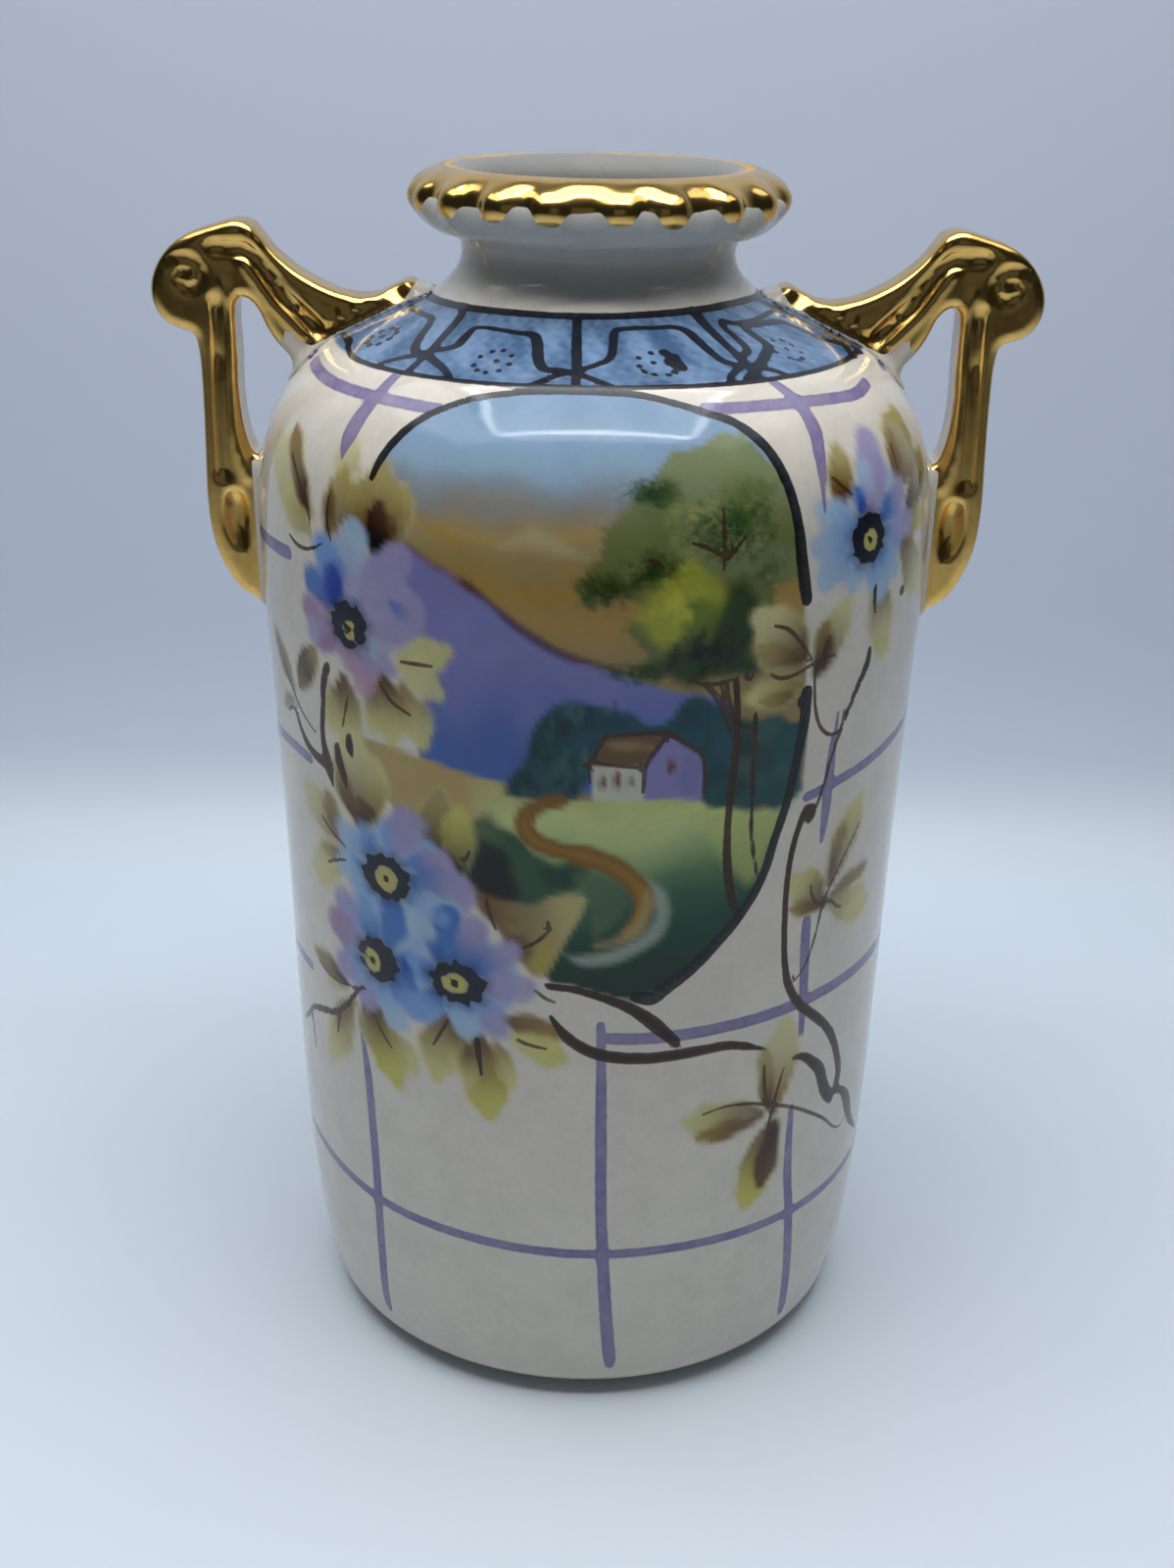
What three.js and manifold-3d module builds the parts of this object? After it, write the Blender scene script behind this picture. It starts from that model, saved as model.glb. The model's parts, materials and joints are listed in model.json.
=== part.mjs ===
// A small two-handled porcelain vase, cast and fired as one piece.
// Millimetres, +Z up, the foot ring stands on z = 0 and the handles lie along X.
import * as THREE from 'three';
import { mergeVertices } from 'three/addons/utils/BufferGeometryUtils.js';
import Module from 'manifold-3d';

const wasm = await Module();
wasm.setup();

// Foot: a low ring that the vase stands on, with a recessed underside inside it.
const FOOT_RADIUS = 34.0;
const FOOT_RING_WIDTH = 3.4;
const FOOT_RING_HEIGHT = 1.2;
const FOOT_RECESS = 1.6;

// Body: the rounded bottom edge, then a side that widens slowly up to the shoulder.
const BASE_RADIUS = 38.5;
const BASE_ROUND = 4.0;
const SWELL_OUT_SHARE = 0.45;
const SWELL_UP_SHARE = 0.3;
const FLARE_RADIUS = 40.8;
const FLARE_HEIGHT = 21.0;
const WAIST_RADIUS = 42.3;
const WAIST_HEIGHT = 56.0;
const SHOULDER_RADIUS = 44.3;
const SHOULDER_HEIGHT = 114.0;

// Shoulder: the side turns in tightly, then runs up a shallow cone to the neck.
const TURN_RADIUS = 37.0;
const TURN_RISE = 22.0;
const TURN_TIGHTNESS = 3.2;
const TURN_CROWDING = 2.35;
const CONE_RADIUS = 34.6;
const CONE_RISE = 2.2;
const NECK_BASE_RADIUS = 21.4;
const NECK_BASE_RISE = 6.2;

// Neck: the narrowest ring under the lip.
const NECK_RADIUS = 17.4;
const NECK_RISE = 5.2;
const NECK_HOLLOW_IN_SHARE = 0.36;
const NECK_HOLLOW_UP_SHARE = 0.42;

// Lip: a rolled rim whose outside carries a row of soft bosses.
const LIP_CENTRE_RADIUS = 19.2;
const LIP_RISE = 6.4;
const LIP_ROLL = 4.0;
const LIP_JOIN_ANGLE = 0.26;
const LIP_START_ANGLE = 0.2;
const LIP_STEPS = 8;
const LIP_BOSSES = 20;
const LIP_BOSS_RISE = 0.25;

// Walls of the casting.
const BODY_WALL = 3.6;
const NECK_WALL = 3.4;
const FLOOR_THICKNESS = 4.0;
const TURN_WALL_SHARE = 0.6;

// Handles: flat scrolled straps set on the shoulder, one on each side.
const HANDLE_DEPTH = 6.5;
const HANDLE_EDGE_ROUND = 1.3;
const HANDLE_ROOT = 1.8;
const LEG_CLEARANCE = 1.9;
const LEG_WIDTH = 5.0;

// Carving on both faces of each handle.
const ARM_CHANNEL_DEPTH = 1.0;
const LEG_GROOVE_RADIUS = 0.7;
const SPOON_LENGTH = 8.6;
const SPOON_WIDTH = 2.6;
const SPOON_DEPTH = 0.9;
const SCROLL_EYE_RADIUS = 0.9;
const CREST_HOLLOW_LENGTH = 5.4;
const CREST_HOLLOW_WIDTH = 3.0;
const TOOL_SIDES = 6;

// Heights above the table, each stage standing on the one below it.
const TURN_HEIGHT = SHOULDER_HEIGHT + TURN_RISE;
const CONE_HEIGHT = TURN_HEIGHT + CONE_RISE;
const NECK_BASE_HEIGHT = CONE_HEIGHT + NECK_BASE_RISE;
const NECK_HEIGHT = NECK_BASE_HEIGHT + NECK_RISE;
const LIP_CENTRE_HEIGHT = NECK_HEIGHT + LIP_RISE;

// Facets of the turned body: three for every boss of the lip.
const FACETS_PER_BOSS = 3;
const TURN_SEGMENTS = LIP_BOSSES * FACETS_PER_BOSS;

function toSolid(geometry) {
  const plain = geometry.clone();
  plain.deleteAttribute('normal');
  plain.deleteAttribute('uv');
  const merged = mergeVertices(plain, 1e-4);
  const index = merged.index.array;
  const kept = [];
  for (let i = 0; i < index.length; i += 3) {
    const [a, b, c] = [index[i], index[i + 1], index[i + 2]];
    if (a !== b && b !== c && c !== a) kept.push(a, b, c);
  }
  return new wasm.Manifold(new wasm.Mesh({
    numProp: 3,
    vertProperties: Float32Array.from(merged.attributes.position.array),
    triVerts: Uint32Array.from(kept),
  }));
}

function toGeometry(solid) {
  const mesh = solid.getMesh();
  const geometry = new THREE.BufferGeometry();
  geometry.setAttribute('position', new THREE.BufferAttribute(Float32Array.from(mesh.vertProperties), 3));
  geometry.setIndex(new THREE.BufferAttribute(Uint32Array.from(mesh.triVerts), 1));
  geometry.computeVertexNormals();
  return geometry;
}

// Outside of the casting from the foot up to the start of the rolled lip.
const bodyBottom = FOOT_RING_HEIGHT + BASE_ROUND;
const sideCurve = new THREE.SplineCurve([
  new THREE.Vector2(BASE_RADIUS, bodyBottom),
  new THREE.Vector2(BASE_RADIUS + SWELL_OUT_SHARE * (FLARE_RADIUS - BASE_RADIUS), bodyBottom + SWELL_UP_SHARE * (FLARE_HEIGHT - bodyBottom)),
  new THREE.Vector2(FLARE_RADIUS, FLARE_HEIGHT),
  new THREE.Vector2(WAIST_RADIUS, WAIST_HEIGHT),
  new THREE.Vector2(SHOULDER_RADIUS, SHOULDER_HEIGHT),
]);

// The turn of the shoulder is a quarter of a superellipse between the side and the cone.
function shoulderTurn(count) {
  const points = [];
  const rise = TURN_HEIGHT - SHOULDER_HEIGHT;
  const inset = SHOULDER_RADIUS - TURN_RADIUS;
  for (let i = 1; i <= count; i++) {
    const t = i / count;
    const height = SHOULDER_HEIGHT + rise * Math.sin((t * Math.PI) / TURN_CROWDING) / Math.sin(Math.PI / TURN_CROWDING);
    const climb = (height - SHOULDER_HEIGHT) / rise;
    points.push(new THREE.Vector2(SHOULDER_RADIUS - inset * Math.pow(climb, TURN_TIGHTNESS), height));
  }
  return points;
}

const neckJoin = new THREE.Vector2(
  LIP_CENTRE_RADIUS - LIP_ROLL * Math.sin(LIP_JOIN_ANGLE),
  LIP_CENTRE_HEIGHT - LIP_ROLL * Math.cos(LIP_JOIN_ANGLE),
);
const neckCurve = new THREE.SplineCurve([
  new THREE.Vector2(NECK_BASE_RADIUS, NECK_BASE_HEIGHT),
  new THREE.Vector2(
    NECK_RADIUS + NECK_HOLLOW_IN_SHARE * (NECK_BASE_RADIUS - NECK_RADIUS),
    NECK_BASE_HEIGHT + NECK_HOLLOW_UP_SHARE * (NECK_HEIGHT - NECK_BASE_HEIGHT),
  ),
  new THREE.Vector2(NECK_RADIUS, NECK_HEIGHT),
  neckJoin,
]);

const side = sideCurve.getPoints(6);
const turn = shoulderTurn(6);
const coneEdge = new THREE.Vector2(CONE_RADIUS, CONE_HEIGHT);
const outside = [...side, ...turn, coneEdge, ...neckCurve.getPoints(5)];

// Radius of the outer wall at a height, used to seat the handles.
function wallRadius(height) {
  for (let i = 1; i < outside.length; i++) {
    const [low, high] = [outside[i - 1], outside[i]];
    if (height <= high.y && height >= low.y) {
      const share = (height - low.y) / Math.max(high.y - low.y, 1e-6);
      return low.x + share * (high.x - low.x);
    }
  }
  return NECK_RADIUS;
}

function turnedBody() {
  const profile = [];
  const footInner = FOOT_RADIUS - FOOT_RING_WIDTH;
  profile.push(new THREE.Vector2(0, FOOT_RECESS), new THREE.Vector2(footInner - FOOT_RECESS, FOOT_RECESS));
  profile.push(new THREE.Vector2(footInner, 0), new THREE.Vector2(FOOT_RADIUS, 0));
  profile.push(new THREE.Vector2(FOOT_RADIUS, FOOT_RING_HEIGHT));
  for (const step of [1, 2]) {
    const angle = (step / 3) * (Math.PI / 2);
    profile.push(new THREE.Vector2(
      BASE_RADIUS - BASE_ROUND + BASE_ROUND * Math.sin(angle),
      bodyBottom - BASE_ROUND * Math.cos(angle),
    ));
  }
  profile.push(...outside);

  // The rolled lip, from where the neck meets it round to the inside of the mouth.
  const rollStart = -Math.PI / 2 + LIP_START_ANGLE;
  const rollEnd = Math.PI;
  for (let i = 1; i <= LIP_STEPS; i++) {
    const angle = rollStart + (i / LIP_STEPS) * (rollEnd - rollStart);
    profile.push(new THREE.Vector2(
      LIP_CENTRE_RADIUS + LIP_ROLL * Math.cos(angle),
      LIP_CENTRE_HEIGHT + LIP_ROLL * Math.sin(angle),
    ));
  }

  // The inside follows the outside at the thickness of the wall.
  const innerNeck = NECK_RADIUS - NECK_WALL;
  profile.push(new THREE.Vector2(innerNeck, NECK_HEIGHT));
  profile.push(new THREE.Vector2(NECK_BASE_RADIUS - NECK_WALL, NECK_BASE_HEIGHT - NECK_WALL));
  profile.push(new THREE.Vector2(TURN_RADIUS - TURN_WALL_SHARE * BODY_WALL, TURN_HEIGHT - BODY_WALL));
  for (const point of [...turn.slice(0, -1)].reverse().filter((_, i) => i % 2 === 0)) {
    const lean = (point.y - SHOULDER_HEIGHT) / (TURN_HEIGHT - SHOULDER_HEIGHT);
    profile.push(new THREE.Vector2(point.x - BODY_WALL, point.y - BODY_WALL * lean * TURN_WALL_SHARE));
  }
  profile.push(new THREE.Vector2(SHOULDER_RADIUS - BODY_WALL, SHOULDER_HEIGHT));
  profile.push(new THREE.Vector2(WAIST_RADIUS - BODY_WALL, WAIST_HEIGHT));
  profile.push(new THREE.Vector2(FLARE_RADIUS - BODY_WALL, FLARE_HEIGHT));
  const floor = FOOT_RECESS + FLOOR_THICKNESS;
  profile.push(new THREE.Vector2(BASE_RADIUS - BODY_WALL, floor + BASE_ROUND));
  profile.push(new THREE.Vector2(BASE_RADIUS - BODY_WALL - 0.5 * BASE_ROUND, floor + 0.2 * BASE_ROUND));
  profile.push(new THREE.Vector2(BASE_RADIUS - BODY_WALL - 1.5 * BASE_ROUND, floor));
  profile.push(new THREE.Vector2(0, floor));

  const lathe = new THREE.LatheGeometry(profile, TURN_SEGMENTS);
  lathe.rotateX(Math.PI / 2);

  // The bosses swell out of the outer half of the rolled lip.
  const position = lathe.attributes.position;
  for (let i = 0; i < position.count; i++) {
    const x = position.getX(i);
    const y = position.getY(i);
    const z = position.getZ(i);
    const radius = Math.hypot(x, y);
    const reach = (radius - LIP_CENTRE_RADIUS) / LIP_ROLL;
    if (z > LIP_CENTRE_HEIGHT - LIP_ROLL && reach > 0) {
      const swell = LIP_BOSS_RISE * reach * Math.cos(LIP_BOSSES * Math.atan2(y, x));
      position.setXY(i, x * (1 + swell / radius), y * (1 + swell / radius));
    }
  }
  return toSolid(lathe);
}

// Handle outline on the right-hand side. The arm is placed from the neck base, the scroll
// and the leg from the shoulder, so the strap moves with the wall that it grows from.
function handleOutline() {
  const arm = (dx, dz) => new THREE.Vector2(NECK_BASE_RADIUS + dx, NECK_BASE_HEIGHT + dz);
  const far = (dx, dz) => new THREE.Vector2(SHOULDER_RADIUS + dx, SHOULDER_HEIGHT + dz);
  const legInner = LEG_CLEARANCE;
  const legOuter = LEG_CLEARANCE + LEG_WIDTH;

  const topEdge = new THREE.SplineCurve([
    arm(-0.4, -0.6), arm(1.2, 0.9), arm(3.2, 1.5), arm(5.2, 0.5), arm(7.9, -0.6), arm(11.0, -0.5),
    far(-9.5, 31.0), far(-5.9, 32.9), far(-3.2, 35.3), far(-1.0, 38.0),
  ]).getPoints(12);
  const scroll = new THREE.SplineCurve([
    far(-1.0, 38.0), far(0.3, 38.7), far(3.9, 37.8), far(7.9, 36.7), far(10.6, 34.9), far(12.2, 32.3),
    far(12.4, 29.6), far(11.3, 27.2), far(9.4, 25.7), far(7.6, 25.0),
  ]).getPoints(14);
  const leg = new THREE.SplineCurve([
    far(legOuter + 0.2, 23.6), far(legOuter, 17.0), far(legOuter + 0.1, 8.0), far(legOuter, 2.0), far(6.3, -2.5),
    far(4.7, -6.6), far(2.7, -9.6), far(0.7, -11.1),
  ]).getPoints(9);

  // The root of the strap is buried in the wall, then the loop runs back up and over.
  const tipHeight = SHOULDER_HEIGHT - 12.0;
  const crotchHeight = SHOULDER_HEIGHT + 8.6;
  const root = [
    new THREE.Vector2(wallRadius(tipHeight) - HANDLE_ROOT, tipHeight),
    new THREE.Vector2(wallRadius(crotchHeight) - HANDLE_ROOT, crotchHeight - 0.8),
    new THREE.Vector2(wallRadius(crotchHeight), crotchHeight),
  ];
  const loop = new THREE.SplineCurve([
    far(0.6, 9.6), far(legInner - 0.4, 12.4), far(legInner, 17.0), far(legInner + 0.1, 22.0), far(legInner + 0.2, 26.8),
    far(1.3, 29.2), far(-0.1, 29.0), far(-1.2, 27.5), far(-2.2, 25.4), far(-3.7, 23.4), far(-5.0, 21.9),
  ]).getPoints(13);
  const seatHeight = SHOULDER_HEIGHT + 20.4;
  const seat = [
    new THREE.Vector2(wallRadius(seatHeight) - HANDLE_ROOT, seatHeight - HANDLE_ROOT),
    new THREE.Vector2(NECK_BASE_RADIUS - HANDLE_ROOT, NECK_BASE_HEIGHT - HANDLE_ROOT),
  ];
  return [...topEdge, ...scroll.slice(1), ...leg, ...root, ...loop, ...seat];
}

function grooveTool(points, radius, sides) {
  const section = new THREE.Shape();
  section.absarc(0, 0, radius, 0, Math.PI * 2);
  const path = new THREE.CatmullRomCurve3(points.map((p) => new THREE.Vector3(p.x, 0, p.y)));
  return new THREE.ExtrudeGeometry(section, {
    extrudePath: path, steps: 2 * points.length, curveSegments: sides, bevelEnabled: false,
  });
}

function hollowTool(centre, length, width, depth, tilt) {
  const hollow = new THREE.SphereGeometry(1, 10, 8);
  hollow.scale(width / 2, depth, length / 2);
  hollow.rotateY(tilt);
  hollow.translate(centre.x, 0, centre.y);
  return hollow;
}

function carvedHandle() {
  const outline = new THREE.Shape(handleOutline());
  const strap = new THREE.ExtrudeGeometry(outline, {
    depth: HANDLE_DEPTH - 2 * HANDLE_EDGE_ROUND,
    bevelThickness: HANDLE_EDGE_ROUND,
    bevelSize: HANDLE_EDGE_ROUND * 0.8,
    bevelOffset: -HANDLE_EDGE_ROUND * 0.8,
    bevelSegments: 2,
  });
  strap.translate(0, 0, -(HANDLE_DEPTH / 2 - HANDLE_EDGE_ROUND));
  strap.rotateX(Math.PI / 2);
  let handle = toSolid(strap);

  const far = (dx, dz) => new THREE.Vector2(SHOULDER_RADIUS + dx, SHOULDER_HEIGHT + dz);
  const tools = [
    grooveTool([far(3.3, 35.2), far(0.3, 34.6), far(-2.3, 32.4), far(-4.3, 30.0), far(-6.7, 27.6)], ARM_CHANNEL_DEPTH, TOOL_SIDES),
    hollowTool(far(-6.9, 27.2), CREST_HOLLOW_LENGTH, CREST_HOLLOW_WIDTH, 1.2 * ARM_CHANNEL_DEPTH, Math.PI / 4.2),
    grooveTool([far(4.2, 28.4), far(4.3, 20.0), far(4.4, 8.5)], LEG_GROOVE_RADIUS, TOOL_SIDES),
    hollowTool(far(2.9, 0.6), SPOON_LENGTH, SPOON_WIDTH, SPOON_DEPTH, 0.12),
    hollowTool(far(7.7, 31.4), 3.2 * SCROLL_EYE_RADIUS, 2 * SCROLL_EYE_RADIUS, SPOON_DEPTH, 0.2),
  ];
  for (const tool of tools) {
    for (const face of [-1, 1]) {
      const placed = tool.clone();
      placed.translate(0, (face * HANDLE_DEPTH) / 2, 0);
      handle = handle.subtract(toSolid(placed));
    }
  }
  return handle;
}

const body = turnedBody();
const rightHandle = toGeometry(carvedHandle());
const leftHandle = rightHandle.clone().rotateZ(Math.PI);
const vaseSolid = body.add(toSolid(rightHandle)).add(toSolid(leftHandle));

const glazedPorcelain = new THREE.MeshStandardMaterial({ color: 0xe4e2d8, roughness: 0.18, metalness: 0.0 });
const vase = new THREE.Mesh(toGeometry(vaseSolid), glazedPorcelain);
vase.name = 'vase';

const group = new THREE.Group();
group.name = 'two_handled_vase';
group.add(vase);

export default group;
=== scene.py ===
# %% [markdown]
# A small porcelain vase with two gilded handles and a hand-painted picture on its front.
# The real one is slip cast: body and handles come out of the kiln as one piece, then the colours
# and the gold are brushed on over the glaze and fired again. So it is one mesh here too, and the
# painting is worked out stroke by stroke on its surface, with no picture file.

# %% The frame
import json
import math
import bpy
import numpy as np
from mathutils import Matrix

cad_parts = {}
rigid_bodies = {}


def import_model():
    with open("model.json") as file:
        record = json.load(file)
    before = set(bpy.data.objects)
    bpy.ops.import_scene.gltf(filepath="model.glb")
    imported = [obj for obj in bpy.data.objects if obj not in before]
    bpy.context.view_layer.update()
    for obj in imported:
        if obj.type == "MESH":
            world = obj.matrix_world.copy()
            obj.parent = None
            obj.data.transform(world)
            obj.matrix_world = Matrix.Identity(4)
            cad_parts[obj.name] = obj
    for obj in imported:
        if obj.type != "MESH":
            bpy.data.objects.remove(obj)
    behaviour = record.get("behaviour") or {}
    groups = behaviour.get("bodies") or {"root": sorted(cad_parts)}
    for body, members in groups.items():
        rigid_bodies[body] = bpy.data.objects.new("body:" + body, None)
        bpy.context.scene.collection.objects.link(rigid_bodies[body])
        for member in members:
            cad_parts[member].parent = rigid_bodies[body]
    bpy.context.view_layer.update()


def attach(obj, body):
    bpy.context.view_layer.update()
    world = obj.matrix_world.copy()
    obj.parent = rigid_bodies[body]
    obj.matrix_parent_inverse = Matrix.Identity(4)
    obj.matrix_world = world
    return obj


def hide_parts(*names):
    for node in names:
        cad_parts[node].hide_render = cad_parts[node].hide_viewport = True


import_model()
MM = 0.001


def put_all_down():
    """Nothing selected and nothing active, so that an operator acts only on what is chosen next."""
    if bpy.context.object and bpy.context.object.mode != "OBJECT":
        bpy.ops.object.mode_set(mode="OBJECT")
    for thing in bpy.context.view_layer.objects:
        thing.select_set(False)
    bpy.context.view_layer.objects.active = None


def pick_up(thing):
    put_all_down()
    thing.select_set(True)
    bpy.context.view_layer.objects.active = thing


# %% [markdown]
# The camera stands where the photographer's did: close, in front of the picture, a little above
# the lip and looking down. A close camera makes the foot look narrower than the shoulder, so its
# distance matters as much as its direction.

# %% Camera
CAMERA_DISTANCE = 253.0
CAMERA_HEIGHT = 180.5
LOOKING_DOWN = math.radians(22.42)
TILTED_BY = math.radians(0.9)
TURNED_BY = math.radians(-0.09)
PHOTO_HEIGHT_PX = 1600
FOCAL_PX = 1970.0
SENSOR_HEIGHT = 36.0

forward = np.array([math.sin(TURNED_BY) * math.cos(LOOKING_DOWN),
                    math.cos(TURNED_BY) * math.cos(LOOKING_DOWN),
                    -math.sin(LOOKING_DOWN)])
level_right = np.array([math.cos(TURNED_BY), -math.sin(TURNED_BY), 0.0])
level_up = np.cross(level_right, forward)
camera_right = math.cos(TILTED_BY) * level_right + math.sin(TILTED_BY) * level_up
camera_up = math.cos(TILTED_BY) * level_up - math.sin(TILTED_BY) * level_right

camera_data = bpy.data.cameras.new("camera")
camera_data.sensor_fit = "VERTICAL"
camera_data.sensor_height = SENSOR_HEIGHT
camera_data.lens = FOCAL_PX / PHOTO_HEIGHT_PX * SENSOR_HEIGHT
camera_data.clip_start = 0.01
camera = bpy.data.objects.new("camera", camera_data)
bpy.context.scene.collection.objects.link(camera)
turned = Matrix([camera_right, camera_up, -forward]).transposed().to_4x4()
camera.matrix_world = Matrix.Translation((0.0, -CAMERA_DISTANCE * MM, CAMERA_HEIGHT * MM)) @ turned
bpy.context.scene.camera = camera
print("lens in mm:", round(camera_data.lens, 2))

# %% [markdown]
# The table is one pale sheet that curves up into a backdrop a hand's width behind the vase, as in
# a small photo tent. One sheet has no hard corner line. It isn't part of the object, so it is stage.
# The paper is painted a little darker where it rises, as in the photo: painted shade for the weaker light
# on the upright backdrop, since the sheet is all one paper. It is clear from its back and its underside,
# so that the pot can be looked at from every side.

# %% Floor and backdrop
SHEET_WIDTH = 1600.0
SHEET_FRONT = -520.0
BACKDROP_PLACE = 150.0
BACKDROP_CURVE = 22.0
BACKDROP_HEIGHT = 620.0

put_all_down()
bpy.ops.mesh.primitive_plane_add(size=1.0)
floor = bpy.context.object
floor.name = "floor"
floor.scale = (SHEET_WIDTH * MM, (BACKDROP_PLACE - BACKDROP_CURVE - SHEET_FRONT) * MM, 1.0)
floor.location = (0.0, (BACKDROP_PLACE - BACKDROP_CURVE + SHEET_FRONT) / 2 * MM, 0.0)
bpy.ops.object.transform_apply(location=True, rotation=False, scale=True)
bpy.ops.object.mode_set(mode="EDIT")
bpy.ops.mesh.select_mode(type="EDGE")
bpy.ops.mesh.select_all(action="DESELECT")
bpy.ops.object.mode_set(mode="OBJECT")
back_line = max(v.co.y for v in floor.data.vertices)
for edge in floor.data.edges:
    edge.select = all(floor.data.vertices[i].co.y > back_line - MM for i in edge.vertices)
bpy.ops.object.mode_set(mode="EDIT")
bpy.ops.mesh.spin(steps=12, angle=-math.pi / 2, axis=(1, 0, 0),
                  center=(0.0, back_line, BACKDROP_CURVE * MM))
bpy.ops.mesh.extrude_region_move(TRANSFORM_OT_translate={"value": (0, 0, BACKDROP_HEIGHT * MM)})
bpy.ops.object.mode_set(mode="OBJECT")
bpy.ops.object.shade_smooth()
floor_top = max(v.co.z for v in floor.data.vertices)
floor_back = max(v.co.y for v in floor.data.vertices)
print("backdrop reaches", round(floor_top / MM), "mm up and", round(floor_back / MM), "mm back")

paper = bpy.data.materials.new("pale paper")
paper.use_nodes = True
paper_shader = paper.node_tree.nodes["Principled BSDF"]
# painted shade: where the sheet rises into the backdrop it gets a darker colour than on the floor
PAPER_FLOOR = (0.826, 0.895, 0.97, 1.0)
PAPER_BACK_SHADED = (0.65, 0.70, 0.82, 1.0)
paper_place = paper.node_tree.nodes.new("ShaderNodeTexCoord")
paper_height = paper.node_tree.nodes.new("ShaderNodeSeparateXYZ")
paper_rise = paper.node_tree.nodes.new("ShaderNodeMapRange")
paper_rise.interpolation_type = "SMOOTHSTEP"
paper_rise.inputs["From Max"].default_value = 60 * MM
paper_shaded_tone = paper.node_tree.nodes.new("ShaderNodeMix")
paper_shaded_tone.data_type = "RGBA"
paper_shaded_tone.inputs["A"].default_value = PAPER_FLOOR
paper_shaded_tone.inputs["B"].default_value = PAPER_BACK_SHADED
paper.node_tree.links.new(paper_place.outputs["Object"], paper_height.inputs["Vector"])
paper.node_tree.links.new(paper_height.outputs["Z"], paper_rise.inputs["Value"])
paper.node_tree.links.new(paper_rise.outputs["Result"], paper_shaded_tone.inputs["Factor"])
paper.node_tree.links.new(paper_shaded_tone.outputs["Result"], paper_shader.inputs["Base Color"])
paper_side = paper.node_tree.nodes.new("ShaderNodeNewGeometry")
clear = paper.node_tree.nodes.new("ShaderNodeBsdfTransparent")
one_sided = paper.node_tree.nodes.new("ShaderNodeMixShader")
paper.node_tree.links.new(paper_side.outputs["Backfacing"], one_sided.inputs["Fac"])
paper.node_tree.links.new(paper_shader.outputs["BSDF"], one_sided.inputs[1])
paper.node_tree.links.new(clear.outputs["BSDF"], one_sided.inputs[2])
paper.node_tree.links.new(one_sided.outputs["Shader"],
                          paper.node_tree.nodes["Material Output"].inputs["Surface"])
paper_shader.inputs["Roughness"].default_value = 0.55
floor.data.materials.append(paper)

# %% [markdown]
# The pot stands in a small white tent that is lit from its roof: broad soft panels over the middle and
# the sides, and a frame of four narrow strips, which glossy porcelain shows as a thin bright frame on
# its shoulder. One weak panel far in front lifts the shadows, and the rest of the front is dark, which
# gives gold its deep reflections. The lamps are a little cool, so the glaze looks less yellow than it is.

# %% Light
LAMP_WHITE = (0.94, 0.975, 1.0)


def panel(name, place, aim, size, power):
    """One rectangular lamp, all in mm, with its flat side turned towards aim."""
    data = bpy.data.lights.new(name, "AREA")
    data.shape = "RECTANGLE"
    data.size = size[0] * MM
    data.size_y = size[1] * MM
    data.energy = power
    data.color = LAMP_WHITE
    lamp = bpy.data.objects.new(name, data)
    bpy.context.scene.collection.objects.link(lamp)
    lamp.location = [v * MM for v in place]
    away = np.array(place, float) - np.array(aim, float)
    away /= np.linalg.norm(away)
    side = np.cross((0.0, 1.0, 0.001), away)
    side /= np.linalg.norm(side)
    direction = Matrix([side, np.cross(away, side), away]).transposed()
    lamp.rotation_euler = direction.to_euler()
    lamp.visible_camera = False
    return lamp


ROOF = 430.0
panel("roof strip front", (0, -130, ROOF), (0, -130, 0), (300, 14), 0.24)
panel("roof strip back", (0, 60, ROOF), (0, 60, 0), (300, 14), 0.12)
panel("roof strip left", (-150, -35, ROOF), (-150, -35, 0), (14, 190), 0.10)
panel("roof strip right", (150, -35, ROOF), (150, -35, 0), (14, 190), 0.10)
panel("roof", (0, -70, ROOF + 10), (0, -200, 0), (310, 250), 0.94)
panel("roof left", (-230, -40, ROOF), (-200, -180, 0), (110, 300), 0.26)
panel("roof right", (230, -40, ROOF), (200, -180, 0), (110, 300), 0.16)
panel("front", (0, -700, 260), (0, 0, 90), (500, 400), 0.05)

room = bpy.data.worlds.new("room")
room.use_nodes = True
room.node_tree.nodes["Background"].inputs["Color"].default_value = (0.55, 0.60, 0.70, 1.0)
room.node_tree.nodes["Background"].inputs["Strength"].default_value = 0.03
bpy.context.scene.world = room
bpy.context.scene.view_settings.view_transform = "Standard"

# %% [markdown]
# The body is turned, so one profile makes all of it: foot, side, shoulder, neck, rolled lip, and the
# same wall again on the inside. The profile is drawn as an edge chain and spun round the axis.
# The front gets narrower sectors than the back, because the fine painting is there.

# %% Wall profile
FOOT_RADIUS = 34.0
FOOT_HEIGHT = 1.0
BASE_RADIUS = 38.5
BASE_ROUND = 4.0
BASE_TOP = 5.2
WALL_STATIONS = [(BASE_RADIUS, BASE_TOP), (39.6, 10), (40.8, 21), (41.5, 33), (41.9, 44), (42.6, 69),
                 (43.5, 94), (44.1, 107), (44.3, 114), (44.2, 119), (43.6, 124), (42.1, 129),
                 (39.8, 133), (37.1, 136), (34.6, 138.2), (30.5, 140.3), (26.0, 142.4), (21.4, 144.4),
                 (19.1, 146.2), (17.8, 148.0), (17.4, 149.6), (17.6, 150.9), (18.2, 152.0)]
LIP_RADIUS = 19.2
LIP_HEIGHT = 156.0
LIP_ROLL = 4.0


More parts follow.
